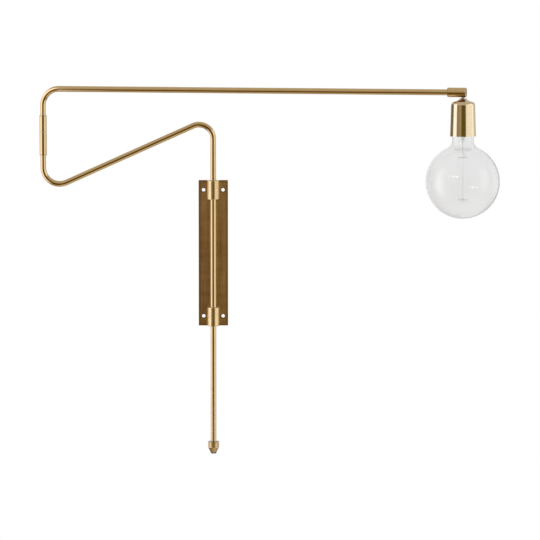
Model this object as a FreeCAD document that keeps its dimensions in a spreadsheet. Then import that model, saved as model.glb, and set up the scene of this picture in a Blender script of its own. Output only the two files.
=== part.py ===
import FreeCAD, Part
import math
import os
import re

import Sketcher

# Swing arm wall lamp in brass. The origin is the middle of the plate's back face, on the wall.
# +Z is up, +X is right along the wall and -Y points into the room. All lengths are millimetres.

Vector = FreeCAD.Vector
UP = Vector(0, 0, 1)

SIZES = {
    # Gaps between pieces: brazed or pressed, turning, thrust faces, and everything else
    "braze_gap": 0.05,
    "running_fit": 0.08,
    "thrust_gap": 0.05,
    "part_gap": 0.3,
    # Wall plate
    "plate_width": 50,
    "plate_height": 248,
    "plate_thickness": 3,
    "plate_corner": 1,
    "plate_edge_break": 0.5,
    "screw_hole": 6,
    "screw_spacing_across": 33,
    "screw_spacing_along": 215,
    # Bearing sleeves on the plate, their bushes and the ring that carries the arms
    "sleeve_diameter": 20,
    "sleeve_length": 32,
    "sleeve_flat": 0.8,
    "sleeve_edge": 0.6,
    "bush_wall": 2,
    "bush_recess": 0.5,
    "ring_wall": 2.4,
    "ring_height": 5,
    "ring_recess": 1,
    # Tubes of both arms
    "tube_diameter": 10,
    "tube_wall": 1,
    "bend_radius": 28,
    "mast_bend_radius": 24,
    "flex_diameter": 6.2,
    "flex_gap": 0.15,
    # Inner arm: the corners are where the straight runs would meet without their bends
    "inner_reach": 288,
    "mast_rise": 107.85,
    "slant_drop": 128.8,
    # Cord grip at the foot of the mast
    "mast_tail": 197,
    "gland_grip": 7,
    "gland_diameter": 18.8,
    "gland_edge": 0.8,
    "gland_collar_height": 10.8,
    "gland_thread": 11,
    "gland_thread_length": 3.5,
    "gland_cone_height": 7.2,
    "gland_nose": 11,
    "grommet_diameter": 8.8,
    "grommet_flange": 10.2,
    "grommet_flange_height": 3,
    "cord_hole": 6.6,
    # Elbow
    "elbow_diameter": 13,
    "elbow_edge": 0.5,
    "elbow_seam_edge": 0.3,
    "elbow_rise": 63.95,
    "elbow_sleeve_length": 39.2,
    "elbow_tube_grip": 19,
    "elbow_washer_thickness": 0.5,
    "elbow_collar_length": 27.4,
    "spigot_step": 1.5,
    "spigot_stem": 16,
    "groove_clearance": 0.5,
    "groove_depth": 0.9,
    "grub_drop": 9,
    "grub_diameter": 3,
    "grub_point": 2.4,
    "grub_recess": 0.2,
    "grub_socket": 1.5,
    "grub_socket_depth": 0.8,
    # Outer arm. At rest it is turned out of the wall's plane so that the bulb clears the wall.
    "outer_stub": 17.35,
    "lamp_reach": 720,
    "rest_yaw": 12.5,
    # Barrel at the arm's end and the journal that it turns on
    "barrel_diameter": 16,
    "barrel_length": 31,
    "barrel_overhang": 5.3,
    "barrel_wall": 1.6,
    "barrel_end_wall": 3,
    "barrel_edge": 0.6,
    "end_cap_thickness": 1.5,
    "end_cap_edge": 0.4,
    "friction_washer_thickness": 0.6,
    "journal_stem": 16,
    "journal_setback": 1.2,
    "stop_lug_thickness": 2.8,
    "stop_lug_angle": 106,
    # Neck between barrel and cup
    "nipple_diameter": 6,
    "nipple_bore": 4,
    "nipple_stop_depth": 4.6,
    "nipple_grip": 7.5,
    "neck_gap": 1.6,
    "collar_diameter": 12,
    "collar_height": 2.4,
    "collar_edge": 0.4,
    # Cup over the lamp holder
    "cup_height": 60.3,
    "cup_wall": 1,
    "cup_crown_flat": 14,
    "cup_crown_drop": 4.4,
    "cup_shoulder_diameter": 39.9,
    "cup_shoulder_radius": 7,
    "cup_mouth_diameter": 43.3,
    # Lamp holder inside the cup
    "holder_gap": 0.65,
    "holder_wall": 2,
    "holder_boss_height": 3.5,
    "holder_shoulder_drop": 12,
    "terminal_block_thickness": 5,
    "terminal_spacing": 14,
    "terminal_screw_diameter": 3.5,
    "terminal_screw_height": 1.5,
    "centre_contact_diameter": 8,
    "centre_contact_height": 2.5,
    "centre_contact_edge": 0.6,
    "screw_shell_wall": 0.5,
    "screw_shell_length": 24,
    "holder_skirt_length": 27,
    "lead_diameter": 1.6,
    "lead_gap": 0.2,
    "lead_bend": 1.6,
    # Bulb: a 125 mm class globe on an E27 cap
    "bulb_diameter": 123,
    "bulb_neck_diameter": 37,
    "bulb_neck_fillet": 12,
    "bulb_neck_length": 10,
    "bulb_shoulder": 9.2,
    "glass_wall": 0.8,
    "cap_thread": 26,
    "cap_thread_depth": 0.8,
    "cap_thread_pitch": 3.5,
    "cap_wall": 0.5,
    "cap_length": 27,
    "cap_skirt": 4,
    "cap_insulator_height": 2.6,
    "cap_contact_diameter": 10,
    "cap_contact_height": 1.2,
    "cap_glass_grip": 6,
    "stem_press_diameter": 6,
    "stem_press_height": 9,
    "stem_flare_height": 15,
    "stem_rod_diameter": 2.2,
    "stem_rod_tail": 4,
    "filament_length": 70,
    "filament_drop": 27,
    "filament_circle": 16.6,
    "filament_wire": 0.3,
    "support_wire": 0.5,
    "spider_hub": 4.4,
    "spider_hub_height": 2.4,
    "lead_wire": 0.6,
}

CAP_THREAD_TURNS = 5
FILAMENT_STRANDS = 8

doc = FreeCAD.newDocument("swing_arm_wall_lamp")
dims = doc.addObject("Spreadsheet::Sheet", "dims")
for row, (name, value) in enumerate(SIZES.items(), start=1):
    dims.set(f"A{row}", name)
    dims.set(f"B{row}", str(value))
    dims.setAlias(f"B{row}", name)
doc.recompute()

sub_parts = []


def bound(text):
    """The expression with every size pointed at its cell in the sheet."""
    return re.sub(r"[a-z_]+", lambda word: f"dims.{word[0]}" if word[0] in SIZES else word[0], text)


def size(text):
    """The number that an expression gives with the sheet's present values."""
    return float(dims.evalExpression(bound(text)))


def new_body(label):
    """An empty body for one sub-part."""
    body = doc.addObject("PartDesign::Body", label)
    body.Label = label
    sub_parts.append(body)
    return body


def new_sketch(body, plane, name):
    """A sketch on one of the body's own origin planes."""
    sketch = body.newObject("Sketcher::SketchObject", name)
    support = next(feature for feature in body.Origin.OriginFeatures if feature.Role == plane)
    sketch.AttachmentSupport = (support, [""])
    sketch.MapMode = "FlatFace"
    return sketch


def fix_point(sketch, geometry, point, across, up):
    """Ties a sketch point to two expressions, measured from the sketch's origin."""
    for kind, text in (("DistanceX", across), ("DistanceY", up)):
        index = sketch.addConstraint(Sketcher.Constraint(kind, -1, 1, geometry, point, size(text)))
        sketch.setExpression(f"Constraints[{index}]", bound(text))


def fix_radius(sketch, geometry, text):
    """Ties a circle's or an arc's radius to an expression."""
    index = sketch.addConstraint(Sketcher.Constraint("Radius", geometry, size(text)))
    sketch.setExpression(f"Constraints[{index}]", bound(text))


def circle(sketch, radius, across="0", up="0"):
    """A full circle about a given point."""
    centre = Vector(size(across), size(up), 0)
    geometry = sketch.addGeometry(Part.Circle(centre, UP, size(radius)), False)
    fix_point(sketch, geometry, 3, across, up)
    fix_radius(sketch, geometry, radius)


def arc_between(centre, radius, start, end):
    """The counterclockwise arc about a centre, from one point to another."""
    first = math.atan2(start.y - centre.y, start.x - centre.x)
    last = math.atan2(end.y - centre.y, end.x - centre.x)
    if last <= first:
        last += 2 * math.pi
    return Part.ArcOfCircle(Part.Circle(centre, UP, radius), first, last)


def outline(sketch, corners, closed=True):
    """Straight runs through the corners. A corner with a third expression is rounded to that radius."""
    places = [Vector(size(corner[0]), size(corner[1]), 0) for corner in corners]
    count = len(corners)
    ends = []
    for index, corner in enumerate(corners):
        here = places[index]
        if len(corner) == 2:
            ends.append((here, here))
            continue
        back = (places[index - 1] - here).normalize()
        ahead = (places[(index + 1) % count] - here).normalize()
        trim = size(corner[2]) / math.tan(back.getAngle(ahead) / 2)
        ends.append((here + back * trim, here + ahead * trim))
    runs = count if closed else count - 1
    lines = []
    for index in range(runs):
        segment = Part.LineSegment(ends[index][1], ends[(index + 1) % count][0])
        lines.append(sketch.addGeometry(segment, False))
    for index, corner in enumerate(corners):
        if not closed and index == count - 1:
            fix_point(sketch, lines[-1], 2, corner[0], corner[1])
        elif not closed and index == 0:
            fix_point(sketch, lines[0], 1, corner[0], corner[1])
        elif len(corner) == 2:
            sketch.addConstraint(Sketcher.Constraint("Coincident", lines[index - 1], 2, lines[index], 1))
            fix_point(sketch, lines[index], 1, corner[0], corner[1])
        else:
            round_corner(sketch, lines[index - 1], lines[index], corner, places[index], ends[index])


def round_corner(sketch, before, after, corner, here, ends):
    """An arc tangent to two runs, which still aim at the corner that it replaces."""
    incoming = here - ends[0]
    outgoing = ends[1] - here
    radius = size(corner[2])
    turns_left = incoming.x * outgoing.y - incoming.y * outgoing.x > 0
    side = Vector(-incoming.y, incoming.x, 0).normalize() * (radius if turns_left else -radius)
    first, last = ends if turns_left else (ends[1], ends[0])
    arc = sketch.addGeometry(arc_between(ends[0] + side, radius, first, last), False)
    arc_before, arc_after = (1, 2) if turns_left else (2, 1)
    sketch.addConstraint(Sketcher.Constraint("Tangent", before, 2, arc, arc_before))
    sketch.addConstraint(Sketcher.Constraint("Tangent", arc, arc_after, after, 1))
    fix_radius(sketch, arc, corner[2])
    aim = sketch.addGeometry(Part.Point(here), True)
    fix_point(sketch, aim, 1, corner[0], corner[1])
    sketch.addConstraint(Sketcher.Constraint("PointOnObject", aim, 1, before))
    sketch.addConstraint(Sketcher.Constraint("PointOnObject", aim, 1, after))


def put(piece, across, out, height, yaw):
    """Places a sub-part by expressions: its origin, and its turn about the vertical."""
    for axis, text in zip("xyz", (across, out, height)):
        piece.setExpression(f"Placement.Base.{axis}", bound(text))
    piece.setExpression("Placement.Rotation.Angle", bound(yaw))


def turned(label, corners, frame, plane="XZ_Plane", axis="V_Axis"):
    """A piece turned on a lathe, from the outline of half its section."""
    body = new_body(label)
    profile = new_sketch(body, plane, label + "_profile")
    outline(profile, corners)
    turn = body.newObject("PartDesign::Revolution", label + "_turn")
    turn.Profile = profile
    turn.ReferenceAxis = (profile, [axis])
    turn.Angle = 360
    put(body, *frame)
    return body


def bent_tube(label, corners, radii, frame, side="0"):
    """A tube or a round core that follows straight runs and tangent bends, from its lower end up."""
    body = new_body(label)
    path = new_sketch(body, "XZ_Plane", label + "_path")
    outline(path, corners, closed=False)
    section = new_sketch(body, "XY_Plane", label + "_section")
    section.setExpression("AttachmentOffset.Base.z", bound(corners[0][1]))
    for radius in radii:
        circle(section, radius, across=side)
    doc.recompute()
    sweep = body.newObject("PartDesign::AdditivePipe", label + "_sweep")
    sweep.Profile = section
    sweep.Spine = (path, [f"Edge{number + 1}" for number in range(len(path.Shape.Edges))])
    put(body, *frame)
    return body


def cut_round(body, plane, radius, height, length):
    """A round hole from the body's own middle outwards, square to one of its planes."""
    doc.recompute()
    before = body.Shape.Volume
    sketch = new_sketch(body, plane, body.Label + "_hole_place")
    circle(sketch, radius, up=height)
    hole = body.newObject("PartDesign::Pocket", body.Label + "_hole")
    hole.Profile = sketch
    hole.setExpression("Length", bound(length))
    doc.recompute()
    if body.Shape.Volume >= before:
        raise RuntimeError(f"{body.Label}: the hole cuts nothing")


# Places that several pieces share

TUBE_R = "(tube_diameter / 2)"
BORE_R = "(tube_diameter / 2 - tube_wall)"
MAST_Y = "(sleeve_flat - plate_thickness - sleeve_diameter / 2)"
BUSH_BORE_R = f"({TUBE_R} + running_fit)"
BUSH_R = f"({BUSH_BORE_R} + bush_wall)"
RING_R = f"({TUBE_R} + braze_gap + ring_wall)"
RING_SEAT = "(ring_recess + ring_height + thrust_gap)"
MAST_CORNER = "(plate_height / 2 + mast_rise)"
ELBOW_CORNER = f"({MAST_CORNER} - slant_drop)"
ELBOW_FOOT = f"({ELBOW_CORNER} + elbow_rise)"
ELBOW_SEAM = f"({ELBOW_FOOT} + elbow_sleeve_length)"
COLLAR_BOTTOM = f"({ELBOW_SEAM} + elbow_washer_thickness + thrust_gap)"
ELBOW_TUBE_TOP = f"({ELBOW_FOOT} + elbow_tube_grip)"
ARM_HEIGHT = f"({COLLAR_BOTTOM} + elbow_collar_length + outer_stub + bend_radius)"
GLAND_TOP = "(-(plate_height / 2 + mast_tail))"
FLEX_R = "(flex_diameter / 2)"


def at_wall(height="0"):
    return ("0", "0", height, "0")


def at_mast(height="0"):
    return ("0", MAST_Y, height, "0")


def at_elbow(height="0", yaw="0"):
    return ("-inner_reach", MAST_Y, height, yaw)


def at_lamp(height=ARM_HEIGHT):
    across = "lamp_reach * cos(rest_yaw) - inner_reach"
    return (across, f"{MAST_Y} - lamp_reach * sin(rest_yaw)", height, "-rest_yaw")


# Wall plate: flat bar with four screw holes and its front edges broken

def back_plate():
    body = new_body("back_plate")
    sketch = new_sketch(body, "XZ_Plane", "back_plate_outline")
    right, top = "plate_width / 2", "plate_height / 2"
    signs = (("-", "-"), ("", "-"), ("", ""), ("-", ""))
    outline(sketch, [(f"{a}({right})", f"{b}({top})", "plate_corner") for a, b in signs])
    for a, b in signs:
        circle(sketch, "screw_hole / 2", f"{a}(screw_spacing_across / 2)", f"{b}(screw_spacing_along / 2)")
    pad = body.newObject("PartDesign::Pad", "back_plate_bar")
    pad.Profile = sketch
    pad.setExpression("Length", bound("plate_thickness"))
    doc.recompute()
    front = min(body.Shape.Faces, key=lambda face: face.CenterOfMass.y)
    edges = body.Shape.Edges
    names = [f"Edge{number}" for number, edge in enumerate(edges, start=1)
             if any(edge.isSame(other) for other in front.OuterWire.Edges)]
    chamfer = body.newObject("PartDesign::Chamfer", "back_plate_edge_break")
    chamfer.Base = (pad, names)
    chamfer.setExpression("Size", bound("plate_edge_break"))
    put(body, *at_wall())


back_plate()


# Bearing sleeves: turned, with a flat milled on the back where they are brazed to the plate

def bearing_sleeve(label, corners, bottom):
    body = turned(label, corners, at_mast(bottom))
    doc.recompute()
    before = body.Shape.Volume
    sketch = new_sketch(body, "XY_Plane", label + "_flat_place")
    back = "sleeve_diameter / 2"
    outline(sketch, [(f"-({back})", f"{back} - sleeve_flat"), (back, f"{back} - sleeve_flat"),
                     (back, f"{back} + sleeve_flat"), (f"-({back})", f"{back} + sleeve_flat")])
    flat = body.newObject("PartDesign::Pocket", label + "_flat")
    flat.Profile = sketch
    flat.Reversed = True
    flat.setExpression("Length", bound("sleeve_length"))
    doc.recompute()
    if body.Shape.Volume >= before:
        raise RuntimeError(f"{label}: the flat cuts nothing")


SLEEVE_R = "sleeve_diameter / 2"
SLEEVE_BORE_R = f"({BUSH_R} + braze_gap)"
RING_SEAT_R = f"({RING_R} + part_gap)"
RING_SEAT_FLOOR = f"(sleeve_length - {RING_SEAT})"
UPPER_SLEEVE_BOTTOM = "(plate_height / 2 - sleeve_length)"
LOWER_SLEEVE_BOTTOM = "(-plate_height / 2)"

bearing_sleeve("upper_sleeve", [
    (SLEEVE_BORE_R, "0"), (SLEEVE_R, "0", "sleeve_edge"), (SLEEVE_R, "sleeve_length", "sleeve_edge"),
    (RING_SEAT_R, "sleeve_length"), (RING_SEAT_R, RING_SEAT_FLOOR), (SLEEVE_BORE_R, RING_SEAT_FLOOR),
], UPPER_SLEEVE_BOTTOM)
bearing_sleeve("lower_sleeve", [
    (SLEEVE_BORE_R, "0"), (SLEEVE_R, "0", "sleeve_edge"),
    (SLEEVE_R, "sleeve_length", "sleeve_edge"), (SLEEVE_BORE_R, "sleeve_length"),
], LOWER_SLEEVE_BOTTOM)


# Plastic bushes pressed into the sleeves; the upper one also carries the thrust ring

def bush(label, bottom, top, frame):
    turned(label, [(BUSH_BORE_R, bottom), (BUSH_R, bottom), (BUSH_R, top), (BUSH_BORE_R, top)], frame)


bush("upper_bush", "bush_recess", RING_SEAT_FLOOR, at_mast(UPPER_SLEEVE_BOTTOM))
bush("lower_bush", "bush_recess", "sleeve_length - bush_recess", at_mast(LOWER_SLEEVE_BOTTOM))

# Thrust ring brazed round the mast, sunk in the top of the upper sleeve

RING_BORE_R = f"({TUBE_R} + braze_gap)"
turned("thrust_ring", [
    (RING_BORE_R, "0"), (RING_R, "0"), (RING_R, "ring_height"), (RING_BORE_R, "ring_height"),
], at_mast(f"plate_height / 2 - {RING_SEAT} + thrust_gap"))

# Inner arm: mast, slanting run and elbow stub, bent from one tube, with its flex inside

MAST_FOOT = f"({GLAND_TOP} - gland_grip)"
INNER_BENDS = [("0", MAST_CORNER, "mast_bend_radius"), ("-inner_reach", ELBOW_CORNER, "bend_radius")]
INNER_TOP = ("-inner_reach", ELBOW_TUBE_TOP)

bent_tube("inner_arm_tube", [("0", MAST_FOOT)] + INNER_BENDS + [INNER_TOP], [TUBE_R, BORE_R], at_mast())
bent_tube("inner_flex", [("0", f"{MAST_FOOT} + part_gap")] + INNER_BENDS + [INNER_TOP], [FLEX_R], at_mast())

# Cord grip: a collar on the mast's foot, a conical nut below it and a rubber grommet in its nose

GLAND_R = "gland_diameter / 2"
GLAND_BORE_R = f"({TUBE_R} + braze_gap)"
GLAND_THREAD_R = "gland_thread / 2"
CORD_R = "cord_hole / 2"
COLLAR_FOOT = "(-gland_collar_height)"
THREAD_FOOT = f"({COLLAR_FOOT} - gland_thread_length)"
NUT_TOP = f"({COLLAR_FOOT} - thrust_gap)"
NUT_FLOOR = f"({THREAD_FOOT} - part_gap)"
NUT_FOOT = f"({COLLAR_FOOT} - gland_cone_height)"
NUT_BORE_R = f"({GLAND_THREAD_R} + braze_gap)"
GROMMET_R = "grommet_diameter / 2"
GROMMET_SEAT_R = f"({GROMMET_R} + braze_gap)"
GROMMET_TOP = f"({NUT_FLOOR} - braze_gap)"
FLANGE_TOP = f"({NUT_FOOT} - braze_gap)"
GROMMET_FOOT = f"({FLANGE_TOP} - grommet_flange_height)"

turned("gland_body", [
    (GLAND_BORE_R, "0"), (GLAND_R, "0", "gland_edge"), (GLAND_R, COLLAR_FOOT), (GLAND_THREAD_R, COLLAR_FOOT),
    (GLAND_THREAD_R, THREAD_FOOT), (CORD_R, THREAD_FOOT), (CORD_R, "-gland_grip - braze_gap"),
    (GLAND_BORE_R, "-gland_grip - braze_gap"),
], at_mast(GLAND_TOP))
turned("gland_nut", [
    (NUT_BORE_R, NUT_TOP), (GLAND_R, NUT_TOP), ("gland_nose / 2", NUT_FOOT), (GROMMET_SEAT_R, NUT_FOOT),
    (GROMMET_SEAT_R, NUT_FLOOR), (NUT_BORE_R, NUT_FLOOR),
], at_mast(GLAND_TOP))
turned("gland_grommet", [
    (CORD_R, GROMMET_TOP), (GROMMET_R, GROMMET_TOP), (GROMMET_R, FLANGE_TOP),
    ("grommet_flange / 2", FLANGE_TOP), ("grommet_flange / 2", GROMMET_FOOT, "gland_edge"),
    (CORD_R, GROMMET_FOOT),
], at_mast(GLAND_TOP))

# Elbow, lower half: a sleeve brazed on the inner arm, with a grub screw in its back

ELBOW_R = "elbow_diameter / 2"
ELBOW_BORE_R = f"({TUBE_R} + running_fit)"
GRUB_HEIGHT = f"({ELBOW_SEAM} - grub_drop)"
GRUB_R = "grub_diameter / 2"
GROOVE_R = f"({TUBE_R} - groove_depth)"

elbow_sleeve = turned("elbow_sleeve", [
    (ELBOW_BORE_R, "0"), (ELBOW_R, "0", "elbow_edge"), (ELBOW_R, "elbow_sleeve_length", "elbow_seam_edge"),
    (ELBOW_BORE_R, "elbow_sleeve_length"),
], at_elbow(ELBOW_FOOT))
cut_round(elbow_sleeve, "XZ_Plane", GRUB_R, "elbow_sleeve_length - grub_drop", "elbow_diameter")

GRUB_THREAD_R = f"({GRUB_R} - braze_gap)"
GRUB_END = f"({ELBOW_R} - grub_recess)"
turned("elbow_grub_screw", [
    ("0", f"{GROOVE_R} + part_gap"), ("grub_point / 2", f"{GROOVE_R} + part_gap"),
    ("grub_point / 2", f"{TUBE_R} + part_gap"), (GRUB_THREAD_R, f"{TUBE_R} + part_gap"),
    (GRUB_THREAD_R, GRUB_END), ("grub_socket / 2", GRUB_END),
    ("grub_socket / 2", f"{GRUB_END} - grub_socket_depth"), ("0", f"{GRUB_END} - grub_socket_depth"),
], at_elbow(GRUB_HEIGHT), plane="XY_Plane")

WASHER_R = f"({ELBOW_R} - part_gap)"
WASHER_BORE_R = f"({TUBE_R} + part_gap)"
turned("elbow_washer", [
    (WASHER_BORE_R, "0"), (WASHER_R, "0"), (WASHER_R, "elbow_washer_thickness"),
    (WASHER_BORE_R, "elbow_washer_thickness"),
], at_elbow(ELBOW_SEAM))

# Elbow, upper half: a collar brazed on the outer arm and the journal that turns in the sleeve

COLLAR_BORE_R = f"({TUBE_R} + braze_gap)"
turned("elbow_collar", [
    (COLLAR_BORE_R, "0"), (ELBOW_R, "0", "elbow_seam_edge"), (ELBOW_R, "elbow_collar_length", "elbow_edge"),
    (COLLAR_BORE_R, "elbow_collar_length"),
], at_elbow(COLLAR_BOTTOM, "-rest_yaw"))

STEM_R = f"({BORE_R} - braze_gap)"
SPIGOT_BORE_R = f"({FLEX_R} + flex_gap)"
SPIGOT_FOOT = f"({ELBOW_TUBE_TOP} + part_gap - {COLLAR_BOTTOM})"
SPIGOT_TOP = "(spigot_step + spigot_stem)"
GROOVE_MIDDLE = f"({GRUB_HEIGHT} - {COLLAR_BOTTOM})"
GROOVE_HALF = "(grub_point / 2 + groove_clearance)"
GROOVE_LOW = f"({GROOVE_MIDDLE} - {GROOVE_HALF})"
GROOVE_HIGH = f"({GROOVE_MIDDLE} + {GROOVE_HALF})"
turned("elbow_spigot", [
    (SPIGOT_BORE_R, SPIGOT_FOOT), (TUBE_R, SPIGOT_FOOT), (TUBE_R, GROOVE_LOW), (GROOVE_R, GROOVE_LOW),
    (GROOVE_R, GROOVE_HIGH), (TUBE_R, GROOVE_HIGH), (TUBE_R, "spigot_step"), (STEM_R, "spigot_step"),
    (STEM_R, SPIGOT_TOP), (SPIGOT_BORE_R, SPIGOT_TOP),
], at_elbow(COLLAR_BOTTOM, "-rest_yaw"))

# Outer arm: one tube with one bend. It ends on the journal's flange inside the barrel.

BARREL_LEFT = "(barrel_overhang - barrel_length)"
BARREL_ROOM = f"({BARREL_LEFT} + barrel_end_wall)"
FLANGE_LEFT = f"({BARREL_ROOM} + friction_washer_thickness + 2 * thrust_gap)"
FLANGE_RIGHT = "(-nipple_diameter / 2 - journal_setback)"
OUTER_BEND = ("0", ARM_HEIGHT, "bend_radius")

bent_tube("outer_arm_tube", [
    ("0", f"{COLLAR_BOTTOM} + spigot_step + braze_gap"), OUTER_BEND,
    (f"lamp_reach + {FLANGE_LEFT} - braze_gap", ARM_HEIGHT),
], [TUBE_R, BORE_R], at_elbow("0", "-rest_yaw"))
bent_tube("outer_flex", [
    ("0", f"{COLLAR_BOTTOM} + {SPIGOT_FOOT}"), OUTER_BEND, (f"lamp_reach + {FLANGE_RIGHT}", ARM_HEIGHT),
], [FLEX_R], at_elbow("0", "-rest_yaw"))

# Journal at the arm's end, with a lug over the nipple that stops the head's roll past a right angle

BARREL_R = "barrel_diameter / 2"
BARREL_BORE_R = "(barrel_diameter / 2 - barrel_wall)"
JOURNAL_R = f"({BARREL_BORE_R} - running_fit)"
STEM_LEFT = f"({FLANGE_LEFT} - journal_stem)"

journal = turned("arm_end_journal", [
    (STEM_LEFT, SPIGOT_BORE_R), (STEM_LEFT, STEM_R), (FLANGE_LEFT, STEM_R), (FLANGE_LEFT, JOURNAL_R),
    (FLANGE_RIGHT, JOURNAL_R), (FLANGE_RIGHT, SPIGOT_BORE_R),
], at_lamp(), axis="H_Axis")
lug_profile = new_sketch(journal, "XZ_Plane", "stop_lug_profile")
END_CAP_LEFT = "(barrel_overhang - end_cap_thickness)"
LUG_RIGHT = f"{END_CAP_LEFT} - journal_setback"
LUG_BOTTOM = f"{JOURNAL_R} - stop_lug_thickness"
outline(lug_profile, [(FLANGE_RIGHT, LUG_BOTTOM), (LUG_RIGHT, LUG_BOTTOM), (LUG_RIGHT, JOURNAL_R),
                      (FLANGE_RIGHT, JOURNAL_R)])
lug = journal.newObject("PartDesign::Revolution", "stop_lug")
lug.Profile = lug_profile
lug.ReferenceAxis = (lug_profile, ["H_Axis"])
lug.Midplane = True
lug.setExpression("Angle", bound("stop_lug_angle"))

FRICTION_LEFT = f"({BARREL_ROOM} + thrust_gap)"
FRICTION_RIGHT = f"({FRICTION_LEFT} + friction_washer_thickness)"
turned("friction_washer", [
    (FRICTION_LEFT, ELBOW_BORE_R), (FRICTION_LEFT, JOURNAL_R), (FRICTION_RIGHT, JOURNAL_R),
    (FRICTION_RIGHT, ELBOW_BORE_R),
], at_lamp(), axis="H_Axis")

# Barrel that rolls on the journal, closed by a pressed-in disc

barrel = turned("swivel_barrel", [
    (BARREL_LEFT, ELBOW_BORE_R), (BARREL_LEFT, BARREL_R, "barrel_edge"),
    ("barrel_overhang", BARREL_R, "barrel_edge"), ("barrel_overhang", BARREL_BORE_R),
    (BARREL_ROOM, BARREL_BORE_R), (BARREL_ROOM, ELBOW_BORE_R),
], at_lamp(), axis="H_Axis")
NIPPLE_R = "nipple_diameter / 2"
NIPPLE_SEAT_R = f"({NIPPLE_R} + braze_gap)"
cut_round(barrel, "XY_Plane", NIPPLE_SEAT_R, "0", "barrel_diameter")

END_CAP_R = f"({BARREL_BORE_R} - braze_gap)"
turned("barrel_end_cap", [
    (END_CAP_LEFT, "0"), (END_CAP_LEFT, END_CAP_R), ("barrel_overhang", END_CAP_R, "end_cap_edge"),
    ("barrel_overhang", "0"),
], at_lamp(), axis="H_Axis")

# Neck: a hollow nipple from the barrel into the lamp holder, with a collar on the cup's crown

CUP_TOP = f"(-({BARREL_R} + neck_gap + collar_height))"
HOLDER_TOP = f"({CUP_TOP} - cup_wall - thrust_gap)"
NIPPLE_TOP = "(-nipple_stop_depth)"
NIPPLE_FOOT = f"({HOLDER_TOP} - nipple_grip)"

turned("neck_nipple", [
    ("nipple_bore / 2", NIPPLE_FOOT), (NIPPLE_R, NIPPLE_FOOT), (NIPPLE_R, NIPPLE_TOP),
    ("nipple_bore / 2", NIPPLE_TOP),
], at_lamp())
turned("cup_collar", [
    (NIPPLE_SEAT_R, f"{CUP_TOP} + thrust_gap"), ("collar_diameter / 2", f"{CUP_TOP} + thrust_gap"),
    ("collar_diameter / 2", f"{CUP_TOP} + collar_height", "collar_edge"),
    (NIPPLE_SEAT_R, f"{CUP_TOP} + collar_height"),
], at_lamp())

# Cup: spun brass with a shallow crown, a round shoulder and a slight flare to the mouth

CROWN_R = "cup_crown_flat / 2"
SHOULDER_R = "cup_shoulder_diameter / 2"
MOUTH_R = "cup_mouth_diameter / 2"
SHOULDER_Z = f"({CUP_TOP} - cup_crown_drop)"
CUP_FOOT = f"({CUP_TOP} - cup_height)"
turned("holder_cup", [
    (NIPPLE_SEAT_R, CUP_TOP), (CROWN_R, CUP_TOP), (SHOULDER_R, SHOULDER_Z, "cup_shoulder_radius"),
    (MOUTH_R, CUP_FOOT), (f"{MOUTH_R} - cup_wall", CUP_FOOT),
    (f"{SHOULDER_R} - cup_wall", f"{SHOULDER_Z} - cup_wall", "cup_shoulder_radius - cup_wall"),
    (CROWN_R, f"{CUP_TOP} - cup_wall"), (NIPPLE_SEAT_R, f"{CUP_TOP} - cup_wall"),
], at_lamp())

# Lamp holder: insulating cap on the nipple, terminal block, screw shell and insulating skirt

HOLDER_R = f"({SHOULDER_R} - cup_wall - holder_gap)"
HOLDER_ROOM_R = f"({HOLDER_R} - holder_wall)"
BOSS_R = f"({CROWN_R} - part_gap)"
HOLDER_SHOULDER = f"({HOLDER_TOP} - holder_shoulder_drop)"
HOLDER_SEAM = f"({HOLDER_SHOULDER} - holder_wall - terminal_block_thickness)"
HOLDER_CEILING = f"({NIPPLE_FOOT} - part_gap)"
turned("holder_cap", [
    (NIPPLE_SEAT_R, HOLDER_TOP), (BOSS_R, HOLDER_TOP), (BOSS_R, f"{HOLDER_TOP} - holder_boss_height"),
    (HOLDER_R, HOLDER_SHOULDER), (HOLDER_R, HOLDER_SEAM), (HOLDER_ROOM_R, HOLDER_SEAM),
    (HOLDER_ROOM_R, f"{HOLDER_SHOULDER} - holder_wall"), (BOSS_R, HOLDER_CEILING),
    (NIPPLE_SEAT_R, HOLDER_CEILING),
], at_lamp())

BLOCK_R = f"({HOLDER_ROOM_R} - braze_gap)"
BLOCK_TOP = f"({HOLDER_SEAM} + terminal_block_thickness)"
turned("terminal_block", [
    ("0", HOLDER_SEAM), (BLOCK_R, HOLDER_SEAM), (BLOCK_R, BLOCK_TOP), ("0", BLOCK_TOP),
], at_lamp())

CONTACT_TOP = f"({HOLDER_SEAM} - thrust_gap)"
CONTACT_FOOT = f"({CONTACT_TOP} - centre_contact_height)"
turned("centre_contact", [
    ("0", CONTACT_FOOT), ("centre_contact_diameter / 2", CONTACT_FOOT, "centre_contact_edge"),
    ("centre_contact_diameter / 2", CONTACT_TOP), ("0", CONTACT_TOP),
], at_lamp())

CAP_R = "(cap_thread / 2)"
SHELL_BORE_R = f"({CAP_R} + part_gap)"
SHELL_R = f"({SHELL_BORE_R} + screw_shell_wall)"
SHELL_FOOT = f"({CONTACT_TOP} - screw_shell_length)"
turned("screw_shell", [
    (SHELL_BORE_R, SHELL_FOOT), (SHELL_R, SHELL_FOOT), (SHELL_R, CONTACT_TOP), (SHELL_BORE_R, CONTACT_TOP),
], at_lamp())

SKIRT_BORE_R = f"({SHELL_R} + part_gap)"
SKIRT_FOOT = f"({CONTACT_TOP} - holder_skirt_length)"
turned("holder_skirt", [
    (SKIRT_BORE_R, SKIRT_FOOT), (HOLDER_R, SKIRT_FOOT), (HOLDER_R, CONTACT_TOP), (SKIRT_BORE_R, CONTACT_TOP),
], at_lamp())


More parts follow.
